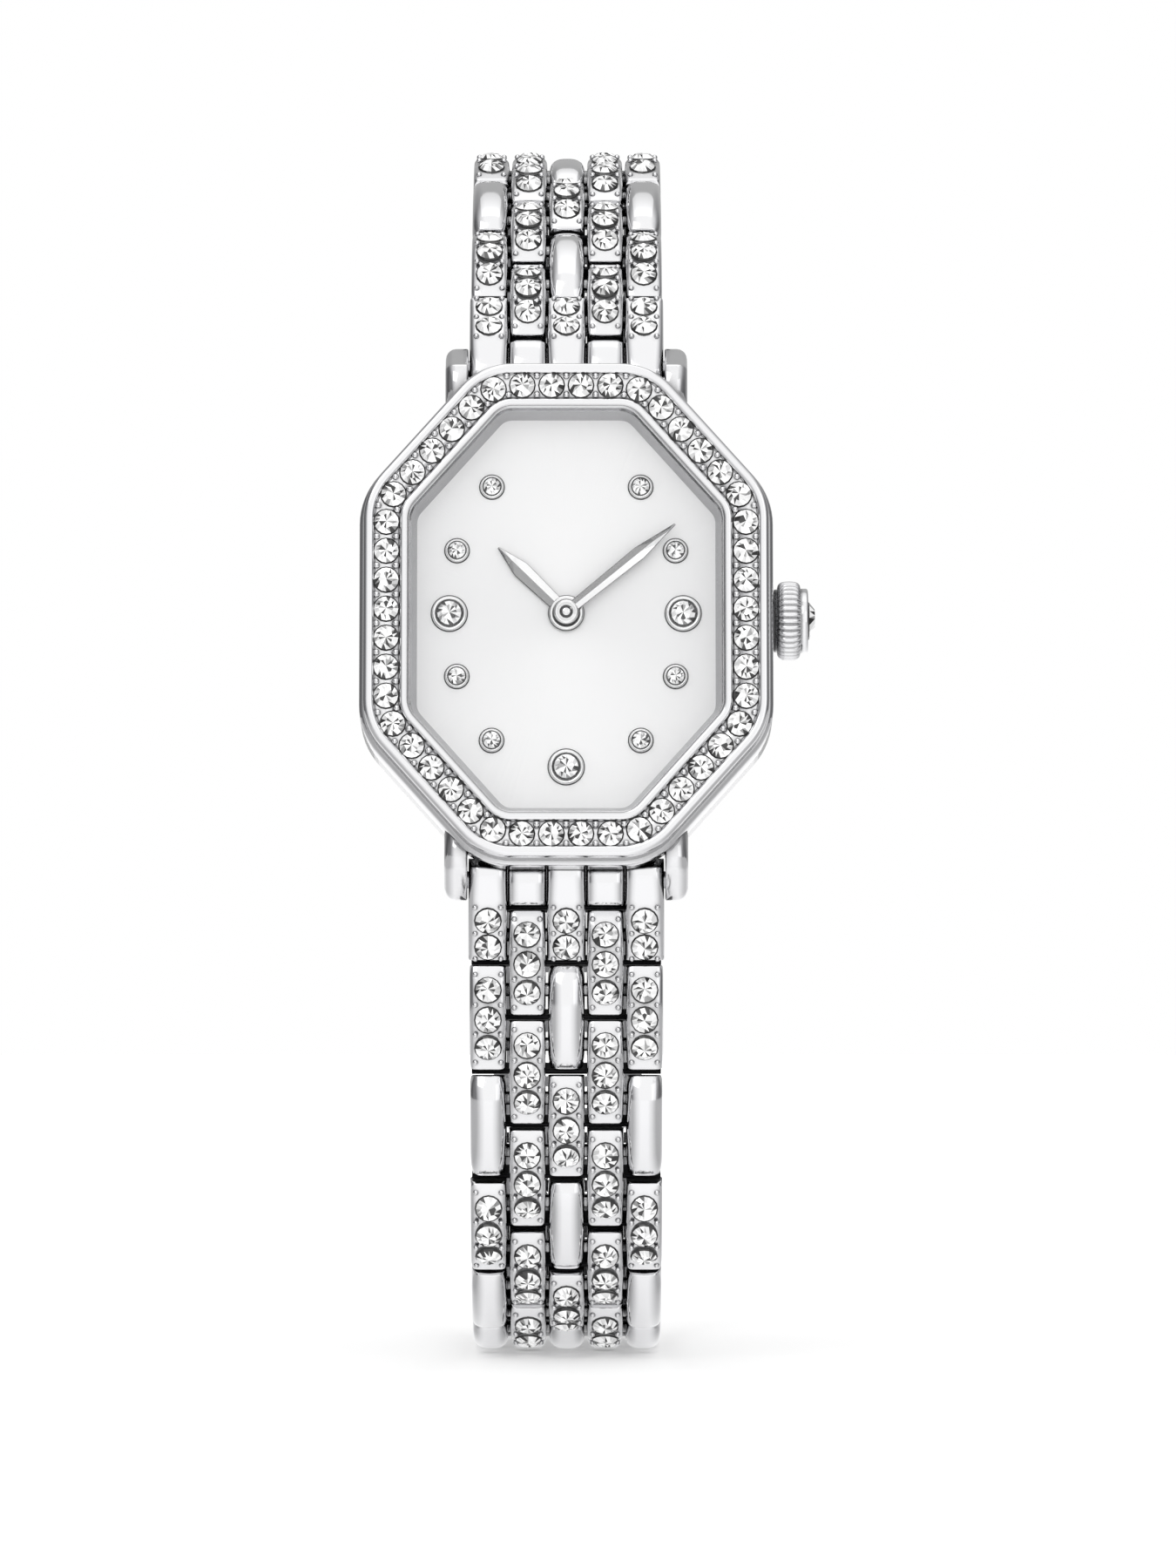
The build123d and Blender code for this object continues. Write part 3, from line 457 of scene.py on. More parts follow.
# a brilliant's measures as shares of its diameter, and how many of its facets have which tone of painted light
stoneCut = {
    "table": 0.56, "crown": 0.17, "pavilion": 0.36, "girdleTop": 0.035, "girdleFoot": -0.02, "scallop": 0.94,
    "sectors": 16, "tableTones": [0.02] * 4 + [0.3] * 2 + [0.7] * 4 + [1.0] * 6,
    "crownTones": [0.03] * 5 + [0.3] * 4 + [0.7] * 9 + [1.0] * 14, "girdleTone": 0.015, "pavilionTone": 0.4,
}


def brilliantShell(diameter, girdleShare=0.9):
    # rings of points: table wedges, zigzag crown, a narrow sloped girdle and a pointed pavilion
    n = stoneCut["sectors"]
    radius = diameter / 2
    even = np.arange(n) % 2 == 0
    tableRadius = np.where(even, 1.0, np.cos(np.pi / 8) * stoneCut["scallop"]) * stoneCut["table"] * radius
    rings = [(tableRadius, stoneCut["crown"] * diameter),
             (girdleShare * radius, stoneCut["girdleTop"] * diameter), (radius, stoneCut["girdleFoot"] * diameter)]
    points = np.concatenate([turnedGrid(rings, n).reshape(-1, 3),
                             [[0, 0, stoneCut["crown"] * diameter], [0, 0, -stoneCut["pavilion"] * diameter]]])
    ring = np.arange(n)
    turned = np.roll(ring, -1)
    tableWedges = np.stack([ring, turned, np.full(n, 3 * n)], -1)
    crownA = np.stack([n + ring, n + turned, ring], -1)
    crownB = np.stack([n + turned, turned, ring], -1)
    girdle = np.stack([2 * n + ring, 2 * n + turned, n + turned, n + ring], -1)
    pavilion = np.stack([2 * n + turned, 2 * n + ring, np.full(n, 3 * n + 1)], -1)
    return points * mm, girdle, np.concatenate([tableWedges, crownA, crownB, pavilion])


def stoneTones(count, seed):
    # painted light: the same mix of bright and dark facets in every stone, in an order of its own, and a girdle
    # painted dark
    random = np.random.default_rng(seed)
    wedge = random.permuted(np.tile(stoneCut["tableTones"], (count, 1)), axis=1)
    crown = random.permuted(np.tile(stoneCut["crownTones"], (count, 1)), axis=1)
    pavilion = np.full((count, stoneCut["sectors"]), stoneCut["pavilionTone"])
    girdle = np.full(count * stoneCut["sectors"], stoneCut["girdleTone"])
    return np.concatenate([girdle, np.concatenate([wedge, crown, pavilion], 1).ravel()])


def stonePiece(name, diameter, frames, body, seed, stands=(), girdleShare=0.9):
    # a cut stone in each frame, as one piece
    shell = copies(brilliantShell(diameter, girdleShare), frames)
    makePiece(name, shell, body, stoneLook, stands, False, stoneTones(len(frames), seed))


def beadShell(diameter):
    # a round bead of metal: a small sphere of 6 rings and 10 sectors, closed at both ends
    rise = np.linspace(-0.9, 1.45, 6)
    return closedShell(turnedGrid(zip(diameter / 2 * np.cos(rise), diameter / 2 * np.sin(rise)), 10) * mm)


case = {
    "foot": -5.05, "recess": -4.35, "recessInset": 1.2, "cavityInset": 2.0, "sideSteps": 6,
    "pocketHalf": 5.75, "pocketTop": -1.6, "pocketFrom": 13.0, "pocketInset": 1.3,
    "lugStart": 5.75, "lugPivot": (15.1, -3.3), "lugRadius": 1.2, "lugRoot": 12.15,
    "lugShoulder": (14.75, -0.6), "lugMiddle": (14.2, -2.6), "lugSize": 1.6,
}
# the wall's profile as (inset, height): foot, rounded flank, soft upper edge, flat top, cavity
wall = [(case["recessInset"], case["foot"]), (0.55, case["foot"]), (0.3, -4.97), (0.1, -4.78), (0.0, -4.5),
        (0.0, -0.4), (0.03, -0.22), (0.1, -0.09), (0.22, -0.02), (0.36, 0.0), (case["cavityInset"], 0.0),
        (case["cavityInset"], case["recess"]), (case["recessInset"], case["recess"])]


def caseWall():
    # the profile round the octagon; between the lugs the outer part ends higher, over the end link
    rings = []
    for inset, height in wall:
        line = octagonLoop(inset)
        share = np.arange(case["sideSteps"])[None, :, None] / case["sideSteps"]
        line = (line[:, None] * (1 - share) + np.roll(line, -1, axis=0)[:, None] * share).reshape(-1, 2)
        overLink = ((np.abs(line[:, 0]) < case["pocketHalf"]) & (np.abs(line[:, 1]) > case["pocketFrom"])
                    & (inset < case["pocketInset"]))
        rings.append(np.column_stack([line, np.where(overLink, max(height, case["pocketTop"]), height)]))
    return closedRing(headGrid(np.array(rings)))


def lugShell(side, end):
    # the lug's outline, root to shoulder round the spring bar, carried across its thickness and
    # drawn in towards its outer face: scale = 1 - draw / lugSize about its middle
    arc = np.radians(np.linspace(-92, 33, 15))
    pivotY, pivotZ = case["lugPivot"]
    outline = np.array([(case["lugRoot"], pivotZ - 1.15),
                        *zip(pivotY + case["lugRadius"] * np.cos(arc), pivotZ + case["lugRadius"] * np.sin(arc)),
                        (15.6, -1.95), (15.12, -1.1), (14.9, -0.78), case["lugShoulder"],
                        (case["lugRoot"], case["lugShoulder"][1])])
    across = [(0.0, 0.05), (0.03, 0.015), (0.08, 0.0), (0.7, 0.0), (0.9, 0.03), (1.06, 0.1), (1.18, 0.2),
              (1.26, 0.33), (1.3, 0.5)]
    rings = []
    for step, draw in across:
        drawn = (outline - case["lugMiddle"]) * (1 - draw / case["lugSize"]) + case["lugMiddle"]
        rings.append(np.column_stack([np.full(len(drawn), side * (case["lugStart"] + step)), end * drawn[:, 0],
                                      drawn[:, 1]]))
    return closedShell(headGrid(np.array(rings)))


makePiece("caseMiddle", caseWall(), "head", steel, ["case"])
makePiece("caseLugs", joined([lugShell(side, end) for side in (1, -1) for end in (1, -1)]), "head", steel)
print("case made")

rim = head["bezelInset"]
inner = rim + head["bezelWidth"]
top = head["bezelTop"]
# the outer rim is half round, then come a narrow groove, the plate that holds the stones, a second
# groove and the inner lip, which reaches over the crystal's edge
turn = np.linspace(0, 2.6, 13)
rollX = rim + 0.33 - 0.33 * signedPower(np.cos(turn), 0.75)
rollZ = top - 0.5 + 0.5 * np.sin(turn) ** 0.6
bezelProfile = [(rim, 0.0), *zip(rollX, rollZ), (0.92, top - 0.34), (0.96, top - 0.25), (1.0, top - 0.24),
                (2.28, top - 0.24), (2.31, top - 0.34), (2.35, top - 0.34), (2.39, top - 0.12), (2.44, top - 0.04),
                (2.52, top), (2.8, top - 0.02), (inner - 0.04, top - 0.07), (inner, top - 0.14),
                (inner, top - 0.5), (inner - 0.18, top - 0.6), (inner - 0.18, 0.0)]
makePiece("bezelRim", headRing(bezelProfile), "head", bezelSteel, ["bezel"])

path = octagonLoop(head["stoneInset"])
start = np.array([[0.0, path[0, 1]]])
loop = np.concatenate([start, path, start])
lengths = np.concatenate([[0], np.cumsum(np.linalg.norm(np.diff(loop, axis=0), axis=1))])


def channelPoint(distance):
    # the point at a distance along the middle of the channel
    return np.array([np.interp(distance % lengths[-1], lengths, loop[:, axis]) for axis in (0, 1)])


def alongBezel(steps, shift=0.0):
    # places at even distances round the channel, moved across it by shift
    distance = np.asarray(steps) / head["stoneCount"] * lengths[-1]
    x, y = channelPoint(distance)
    dx, dy = channelPoint(distance + head["tangentStep"]) - channelPoint(distance - head["tangentStep"])
    size = np.hypot(dx, dy)
    return x - shift * dy / size, y + shift * dx / size


stoneX, stoneY = alongBezel(np.arange(head["stoneCount"]) + 0.5)
stoneFrames = [headFrame(x, y, top - head["stoneSunk"]) for x, y in zip(stoneX, stoneY)]
stonePiece("bezelStones", head["stoneSize"], stoneFrames, "head", 3, ["bezel_stones"])
beadFrames = []
for shift in (head["beadShift"], -head["beadShift"]):
    beadX, beadY = alongBezel(np.arange(head["stoneCount"]), shift)
    beadFrames += [headFrame(x, y, top - head["beadSunk"]) for x, y in zip(beadX, beadY)]
makePiece("bezelBeads", copies(beadShell(head["beadSize"]), beadFrames), "head", bezelSteel)
print("bezel made")

markers = {
    "ringWidth": 13.55, "ringHeight": 18.0,
    "smallShares": [(0.637, 0.828), (0.935, 0.411), (0.935, -0.411), (0.637, -0.828)],
    "largeShares": [(1, 0), (-1, 0), (0, -1)],
    "smallCup": 1.38, "smallStone": 1.16, "largeCup": 2.05, "largeStone": 1.66, "rise": 0.25,
    "girdleShare": 0.84, "sectors": 36,
}


def cupShell(outer, innerSize):
    # a turned ring: the profile goes up from a foot, painted dark as a thin line of contact shadow, over a rolled
    # lip and down inside
    profile = [(outer / 2 + 0.06, -0.35), (outer / 2 + 0.06, 0.02), (outer / 2, 0.06), (outer / 2 - 0.02, 0.17),
               (outer / 2 - 0.07, 0.24), (outer / 2 - 0.13, 0.25), (innerSize / 2 - 0.02, 0.20),
               (innerSize / 2 - 0.2, -0.05), (innerSize / 2 - 0.3, -0.35)]
    return closedRing(turnedGrid(profile, markers["sectors"]) * mm)


# painted light and shade for each ring of the cup's profile: shadow at the foot, highlights on the lip, shade
# inside
cupPaintedLight = np.array([0.02, 0.02, 0.5, 0.85, 0.85, 0.8, 0.1, 0.1, 0.02])
smallShares = markers["smallShares"] + [(-x, y) for x, y in markers["smallShares"]]
markerSets = [("small", smallShares, markers["smallCup"], markers["smallStone"]),
              ("large", markers["largeShares"], markers["largeCup"], markers["largeStone"])]
cups = []
for number, (size, shares, cupSize, stoneSize) in enumerate(markerSets):
    places = [(x * markers["ringWidth"] / 2, y * markers["ringHeight"] / 2) for x, y in shares]
    cups.append(copies(cupShell(cupSize, stoneSize), [headFrame(x, y, 0) for x, y in places]))
    stonePiece(f"markerStones_{size}", stoneSize, [headFrame(x, y, markers["rise"]) for x, y in places],
               "head", 11 + number, ["marker_stones"] if number else (), markers["girdleShare"])
cupCount = sum(len(shares) for size, shares, cupSize, stoneSize in markerSets)
makePiece("markerCups", joined(cups), "head", paintedLightSteel, ["marker_cups"], True,
          np.tile(np.repeat(cupPaintedLight, markers["sectors"]), cupCount))
print("dial markers made")

# bright and grey are the painted tones of each hand's lit and shaded facet; dark and pale paint shade lines along
# its edges
hands = {
    "hour": {"low": 0.2, "length": 5.5, "width": 0.95, "neck": 0.70, "hub": 1.02, "hole": 0.6, "angle": 314.3,
             "bright": 0.88, "grey": 0.36},
    "minute": {"low": 0.6, "length": 8.15, "width": 0.75, "neck": 0.56, "hub": 0.72, "hole": 0.3, "angle": 50.7,
               "bright": 1.0, "grey": 0.17},
    "belly": 0.67, "ridge": 0.16, "edge": 0.06, "line": 0.035, "dark": 0.04, "pale": 0.3,
    "tip": 0.02, "under": 0.9, "hubSectors": 40, "pinSectors": 24,
}


def bladeShell(values):
    # across the blade: a dark edge line of painted shade, the grey facet up to the ridge and the bright facet down,
    # painted as shaded and lit, a paler edge line, also painted shade, flat underneath
    along = np.array([0.0, 0.12, 0.3, 0.5, 0.66, 0.68, 0.8, 0.94, 1.0]) * values["length"]
    neck, wide, far = values["neck"] / 2, values["width"] / 2, values["length"]
    half = np.interp(along, [0, hands["belly"] * far, far], [neck, wide, hands["tip"]])
    line, ridge, edge, under = hands["line"], hands["ridge"], hands["edge"], half * hands["under"]
    x = np.stack([-half - line, -half, 0 * half, half, half + line, under, -under], -1)
    z = np.array([0.0, edge, ridge, edge, 0.0, 0.0, 0.0]) + values["low"] + 0 * x
    y = along[:, None] + 0 * x
    turned = np.radians(values["angle"])
    grid = np.stack([x * np.cos(turned) + y * np.sin(turned), y * np.cos(turned) - x * np.sin(turned), z], -1)
    # the painted light of each strip in the order above, the underneath shaded like the grey facet
    strips = np.array([hands["dark"], values["grey"], values["bright"], hands["pale"]] + [values["grey"]] * 3)
    tones = np.tile(strips, len(along) - 1)
    return closedShell(headGrid(grid)), tones, np.full(2 * len(strips), values["grey"])


def hubShell(values):
    # a turned disc round the post, in painted light and shade: a dark foot line of painted shade, a bright rolled
    # rim and bright face as painted highlights, a hole painted dark
    hub, hole, low = values["hub"], values["hole"], values["low"]
    profile = [(hub + 0.04, 0.0), (hub, 0.05), (hub - 0.03, 0.14), (hub - 0.1, 0.19), (hub - 0.16, 0.19),
               (hole + 0.09, 0.17), (hole + 0.05, 0.14), (hole, 0.1), (hole, 0.0)]
    grid = turnedGrid([(r, low + z) for r, z in profile], hands["hubSectors"])
    tones = np.repeat([0.05, 0.4, 0.85, 0.85, 0.7, 0.2, 0.05, 0.05, 0.3], hands["hubSectors"])
    return closedRing(headGrid(grid)), tones, np.zeros(0)


def pinShell(values):
    # the domed end of the centre post, inside the minute hand's hub
    profile = [(0.27, 0.0), (0.27, 0.12), (0.22, 0.16), (0.12, 0.18), (0.05, 0.185)]
    sectors = hands["pinSectors"]
    grid = turnedGrid([(r, values["low"] + z) for r, z in profile], sectors)
    # painted light on the dome: shaded at its foot, bright on its top
    return closedShell(headGrid(grid)), np.repeat([0.1, 0.4, 0.75, 0.8], sectors), np.full(2 * sectors, 0.8)


for label in ("hour", "minute"):
    made = [bladeShell(hands[label]), hubShell(hands[label])]
    if label == "minute":
        made.append(pinShell(hands[label]))
    shells, quadTones, triangleTones = zip(*made)
    makePiece(f"{label}HandFacets", joined(shells), f"{label}_hand", paintedLightSteel, [f"{label}_hand"], False,
              np.concatenate(quadTones + triangleTones))
print("hands made")

crown = {"ridges": 36, "ridgeDepth": 0.2, "stone": 2.4, "pointsPerRidge": 8}
stemPoint = np.array(joints["crown_turn"]["pos_m"])
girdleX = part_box("crown_stone")[1].x - stoneCut["crown"] * crown["stone"] * mm
stemFrame = placeFrame((girdleX, stemPoint[1], stemPoint[2]), headX, headUp, headOut)
# the crown's profile as (distance back from its end, radius, share of the ridges' depth)
crownProfile = [
    (-1.45, 0.3, 0), (-1.45, 1.12, 0), (-1.98, 1.12, 0), (-1.99, 1.75, 0), (-1.96, 1.83, 0), (-1.80, 1.84, 0),
    (-1.78, 1.95, 0.3), (-1.74, 2.08, 0.8), (-1.64, 2.19, 1), (-1.5, 2.26, 1), (-1.3, 2.29, 1), (-1.1, 2.3, 1),
    (-0.9, 2.29, 1), (-0.7, 2.26, 1), (-0.56, 2.19, 1), (-0.47, 2.08, 0.8), (-0.44, 1.95, 0.3), (-0.43, 1.86, 0),
    (-0.40, 1.88, 0), (-0.1, 1.88, 0), (-0.03, 1.84, 0), (0.0, 1.76, 0), (0.0, 1.24, 0), (-0.05, 1.18, 0),
    (-0.12, 1.1, 0), (-0.3, 0.9, 0), (-0.3, 0.2, 0)]
around = crown["ridges"] * crown["pointsPerRidge"]
turn = np.arange(around) * 2 * np.pi / around
dip = crown["ridgeDepth"] * (1 - np.abs(np.cos(crown["ridges"] / 2 * turn)) ** 0.7)
crownGrid = turnedGrid([(r - share * dip, x) for x, r, share in crownProfile], around)
crownShell = copies(closedShell(np.roll(crownGrid, 1, axis=-1) * mm), [stemFrame])
makePiece("crownRidged", crownShell, "crown", crownSteel, ["crown"])
crownFrame = placeFrame((girdleX, stemPoint[1], stemPoint[2]), headUp, headOut, headX)
stonePiece("crownEndStone", crown["stone"], [crownFrame], "crown", 21, ["crown_stone"])
print("crown made")

links = {
    "pitch": 3.2, "gap": 0.3, "width": 2.13, "columnPitch": 2.27, "outer": 1.3, "inner": 0.85,
    "crown": 0.85, "stoneSize": 1.62, "stonePitch": 1.76, "stoneRows": 9, "beadSize": 0.34, "beadAside": 0.74,
    "pin": 0.4, "half": 1.6, "flare": 0.03, "skirt": 10, "air": 0.04, "poleGap": 0.08,
    "stoneRise": 0.03, "plateTop": 0.12, "plateFoot": -0.8, "plateInset": 0.1, "pinEdge": 0.06, "pinSectors": 20,
}
# in millimetres: a heel's radius about its pin, half a link's length, the height at which its slopes end
# and half the length of its flat underside
reach = links["pitch"] / 2 - links["gap"] / 2
halfLength = links["pitch"] / 2 + reach
shoulder = links["outer"] - links["crown"]
foot = links["pitch"] / 2 + np.sqrt(reach**2 - links["inner"]**2)


def linkShell(topLine, bottomLine, low, high, endPower, sidePower, width=links["width"], rows=23, around=32,
              plan=1.0, under=0.15):
    # a pillow: rings of a rounded rectangle between the top and bottom lines, drawn in at the ends
    pole = np.pi / 2 - links["poleGap"]
    rise = np.linspace(-pole, pole, rows)[:, None]
    s = (low + high) / 2 + (high - low) / 2 * signedPower(np.sin(rise), 2 / endPower)
    drawn = np.cos(rise) ** (2 / endPower)
    turn = (np.arange(around) + 0.5)[None] * 2 * np.pi / around
    # the sides are rounded above and square below, so that little shows between two columns
    power = lineAt(sidePower, s) if isinstance(sidePower, list) else sidePower
    power = np.where(np.sin(turn) < 0, links["skirt"], power)
    topY, bottomY = lineAt(topLine, s), lineAt(bottomLine, s)
    centre, halfHeight = (topY + bottomY) / 2, (topY - bottomY) / 2
    up = signedPower(np.sin(turn), 2 / power)
    across = signedPower(np.cos(turn), 2 / power) * width / 2 * (1 + links["flare"] * np.clip(-up, 0, 1))
    # in plan the ends are drawn in by drawn ** plan above and by drawn ** under below
    grid = np.stack([s + 0 * turn, centre + halfHeight * up * drawn,
                     across * np.where(np.sin(turn) < 0, drawn ** under, drawn ** plan)], -1)
    return closedShell(grid * mm)


# the top lines of plain and of stone-set links, and the underside of both
smoothTop = [(s, shoulder + links["crown"] * (1 - (s / halfLength) ** 2) ** 0.8)
             for s in np.linspace(-halfLength, halfLength, 25)]
flatTop = [(-halfLength, shoulder), (-links["stonePitch"] / 2, links["outer"]),
           (links["stonePitch"] / 2, links["outer"]), (halfLength, shoulder)]
underside = [(-halfLength, 0), (-foot, -links["inner"]), (foot, -links["inner"]), (halfLength, 0)]
plainLink = linkShell(smoothTop, underside, -halfLength, halfLength, 6, 2.8, under=0.55)
stoneLink = linkShell(flatTop, underside, -halfLength, halfLength, 12, 6, under=0.4)


def shadowPlateShell():
    # a near-black sheet of painted shade between the neighbouring rows' heels, where the gap lies in shadow: its
    # sides follow their arcs, a hair away, half = pitch / 2 - sqrt((reach + air) ** 2 - y ** 2)
    y = np.linspace(links["plateTop"], links["plateFoot"], 9)
    half = links["pitch"] / 2 - np.sqrt((reach + links["air"]) ** 2 - y**2)
    outline = np.concatenate([np.stack([half, y], -1), np.stack([-half, y], -1)[::-1]])
    wide = (4 * links["columnPitch"] + links["width"]) / 2 - links["plateInset"]
    grid = np.array([np.column_stack([outline, np.full(len(outline), z)]) for z in (-wide, wide)])
    return closedShell(grid * mm)


def rodShell(radius, length):
    # a round pin across the bracelet with softened ends
    half, edge = length / 2, links["pinEdge"]
    profile = [(radius - edge, -half), (radius, -half + edge), (radius, half - edge), (radius - edge, half)]
    return closedShell(turnedGrid(profile, links["pinSectors"]) * mm)


def shifted(x, z):
    # a link's own frame moved along the row by x and across the bracelet by z
    return placeFrame((x * mm, 0, z * mm), (1, 0, 0), (0, 1, 0), (0, 0, 1))


def rowPins(row, places):
    # the round pins of a row, at these places along it
    return copies(rodShell(links["pin"], 4 * links["columnPitch"]), [row @ shifted(s, 0) for s in places])


def leaning(s, y, lean=0.0, across=0.0):
    # a frame on a link whose z leans by this angle from the link's y towards its x
    return placeFrame((s * mm, y * mm, across * mm), (0, 0, 1), (np.cos(lean), -np.sin(lean), 0),
                      (np.sin(lean), np.cos(lean), 0))


def linkStoneFrames():
    # three stones, on the top flat and on the two that slope away from it
    slope = np.arctan2(links["crown"], halfLength - links["stonePitch"] / 2)
    places = []
    for side in (-1, 0, 1):
        lean = side * slope
        s = side * links["stonePitch"] / 2 * (1 + np.cos(lean)) + links["stoneRise"] * np.sin(lean)
        y = links["outer"] - links["stonePitch"] / 2 * abs(np.sin(lean)) + links["stoneRise"] * np.cos(lean)
        places.append(leaning(s, y, lean))
    return places


def beadFramesAlong(topLine, places, sunk):
    # two beads at each place along a link, near its edges and a little sunk into its top
    return [leaning(s, lineAt(topLine, s) - sunk, 0.0, across)
            for s in places for across in (-links["beadAside"], links["beadAside"])]


def chordFrame(startName, endName, side):
    # the middle of a link, its own x from pin to pin and its own y out of the loop
    start = np.array(joints[startName]["pos_m"])
    end = np.array(joints[endName]["pos_m"])
    along = unit(end - start)
    across = np.array([1.0 if side == "upper" else -1.0, 0, 0])
    return placeFrame((start + end) / 2, along, np.cross(across, along), across)


def columnFrames(row, columns):
    # the frames of a row's links, each a whole number of column pitches from the bracelet's middle
    return [row @ shifted(0, column * links["columnPitch"]) for column in columns]


lastJoint = {"upper": "clasp_tray_hinge", "lower": "clasp_ladder_hinge"}
rowCount = {side: sum(1 for node in nodes if node.startswith(f"link_row_{side}_")) for side in lastJoint}
# the beads stand where neighbouring stones meet and beyond the outer two
stonePlaces, beadPlaces = linkStoneFrames(), beadFramesAlong(flatTop, (-2.58, -0.88, 0.88, 2.58), 0.02)
plate = shadowPlateShell()
for side in ("upper", "lower"):
    for number in range(1, rowCount[side] + 1):
        here = f"{side}_row_{number:02d}_hinge"
        after = f"{side}_row_{number + 1:02d}_hinge" if number < rowCount[side] else lastJoint[side]
        row = chordFrame(here, after, side)
        columns = [-1, 1] if number % 2 else [-2, 0, 2]
        if number > links["stoneRows"]:
            stoneColumns = []
        else:
            stoneColumns = columns if number % 2 else ([-2, 2] if number % 4 == 2 else [0])
        plainColumns = [column for column in columns if column not in stoneColumns]
        shells = [] if number % 2 else [rowPins(row, (-links["half"], links["half"]))]
        if plainColumns:
            shells.append(copies(plainLink, columnFrames(row, plainColumns)))
        if stoneColumns:
            frames = columnFrames(row, stoneColumns)
            shells.append(copies(stoneLink, frames))
            shells.append(copies(beadShell(links["beadSize"]), [a @ b for a in frames for b in beadPlaces]))
        body = f"{side}_row_{number:02d}"
        makePiece(f"links_{side}_{number:02d}", joined(shells), body, linkSteel, [f"link_row_{side}_{number:02d}"])
        # the row's near-black plate of painted shade between the heels
        makePiece(f"shadowPlate_{side}_{number:02d}", copies(plate, [row]), body, shadowPlateSteel)
        if stoneColumns:
            stonePiece(f"linkStones_{side}_{number:02d}", links["stoneSize"],
                       [a @ b for a in frames for b in stonePlaces], body, 100 * number + len(side))
print("bracelet rows made:", rowCount)

# end links: five rounded columns on one core, the outer three running on as stone-set fingers
endLink = {"tip": 3.05, "shortEnd": -0.13, "start": -2.85, "width": 2.25, "stonePitch": 1.62,
           "stoneRise": 0.05, "top": 1.32}
tip, rise, begin, shortEnd = (endLink[key] for key in ("tip", "stoneRise", "start", "shortEnd"))
roundTop = [(begin, 0.55), (-2.8, 0.85), (-2.65, 1.08), (-2.4, 1.25), (-2.1, 1.3), (-1.6, endLink["top"])]
roundUnder = [(begin, 0), (-2.6, -0.75), (-2.2, -1.1), (-1.6, -1.25), (-0.95, -1.1), (-0.75, -links["inner"])]
fingerTop = roundTop + [(0, endLink["top"]), (tip, shoulder)]
fingerUnder = roundUnder + [(foot, -links["inner"]), (tip, 0)]
shortTop = roundTop + [(-0.7, 1.31), (-0.4, 1.22), (-0.22, 1.06), (shortEnd, 0.8)]
shortUnder = roundUnder + [(-0.3, -0.8), (shortEnd, -0.3)]
fingerSides = [(begin, 4.5), (-0.6, 4.5), (0.2, 6), (tip, 6)]
finger = linkShell(fingerTop, fingerUnder, begin, tip, 14, fingerSides, endLink["width"], 41, plan=0.2)
shortColumn = linkShell(shortTop, shortUnder, begin, shortEnd, 14, 4.5, endLink["width"], 31, plan=0.25)
core = linkShell([(-2.75, 0.3), (-2.5, 0.5), (-0.4, 0.5), (-0.25, 0.3)],
                 [(-2.75, 0), (-2.2, -1.0), (-1.6, -1.18), (-0.9, -1.0), (-0.7, -0.83), (-0.25, -0.8)],
                 -2.75, -0.25, 8, 12, 4 * links["columnPitch"] + links["width"] - 0.1, 21)
fall = np.arctan2(links["crown"], tip)
fingerPlaces = []
for number in range(2):
    back = (number + 0.5) * endLink["stonePitch"]
    fingerPlaces.append(leaning(tip - back * np.cos(fall) + rise * np.sin(fall),
                                shoulder + back * np.sin(fall) + rise * np.cos(fall), fall))
fingerBeads = beadFramesAlong(fingerTop, (tip - 0.08, tip - endLink["stonePitch"] * 0.98,
                                          tip - endLink["stonePitch"] * 1.93), 0.03)
for side in ("upper", "lower"):
    row = chordFrame(f"{side}_end_link_hinge", f"{side}_row_01_hinge", side)
    fingers = columnFrames(row, (-2, 0, 2))
    shells = [copies(core, [row]), copies(finger, fingers), copies(shortColumn, columnFrames(row, (-1, 1))),
              copies(beadShell(links["beadSize"]), [a @ b for a in fingers for b in fingerBeads]),
              rowPins(row, (links["half"],))]
    body = f"{side}_end_link"
    makePiece(f"endColumns_{side}", joined(shells), body, linkSteel, [f"end_link_{side}"])
    # the end link's near-black plate of painted shade between the heels
    makePiece(f"shadowPlate_{side}_00", copies(plate, [row]), body, shadowPlateSteel)
    stonePiece(f"endStones_{side}", links["stoneSize"], [a @ b for a in fingers for b in fingerPlaces],
               body, 900 + len(side))
print("end links made")

edges = {"soft": ("clasp_tray", "clasp_cover", "clasp_ladder"), "bevel": 0.12, "bevelFrom": 40, "smoothUpTo": 28,
         "mergeWithin": 0.000002}
nodeLooks = {
    "back_gasket": rubberLook, "crystal": crystalLook, "dial": dialLook, "dial_ring": rehautSteel,
    "hour_tube": steel, "cannon_pinion": steel, "movement": brassLook, "movement_holder": plasticLook,
    **dict.fromkeys(("case_back", "crown_tube", "battery", "setting_slider", "spring_bars", "winding_stem"), satin),
    **dict.fromkeys(edges["soft"], linkSteel),
}
for name, material in nodeLooks.items():
    node = nodes[name]
    node.data.materials.clear()
    node.data.materials.append(material)
    node.data.polygons.foreach_set("use_smooth", np.full(len(node.data.polygons), True))
    merge = node.modifiers.new("merge", "WELD")
    merge.merge_threshold = edges["mergeWithin"]
    if name in edges["soft"]:
        soft = node.modifiers.new("soft", "BEVEL")
        soft.width = edges["bevel"] * mm
        soft.segments = 3
        soft.limit_method = "ANGLE"
        soft.angle_limit = np.radians(edges["bevelFrom"])
        soft.use_clamp_overlap = True
    sharp = node.modifiers.new("sharp", "EDGE_SPLIT")
    sharp.split_angle = np.radians(edges["smoothUpTo"])
print("CAD nodes dressed")

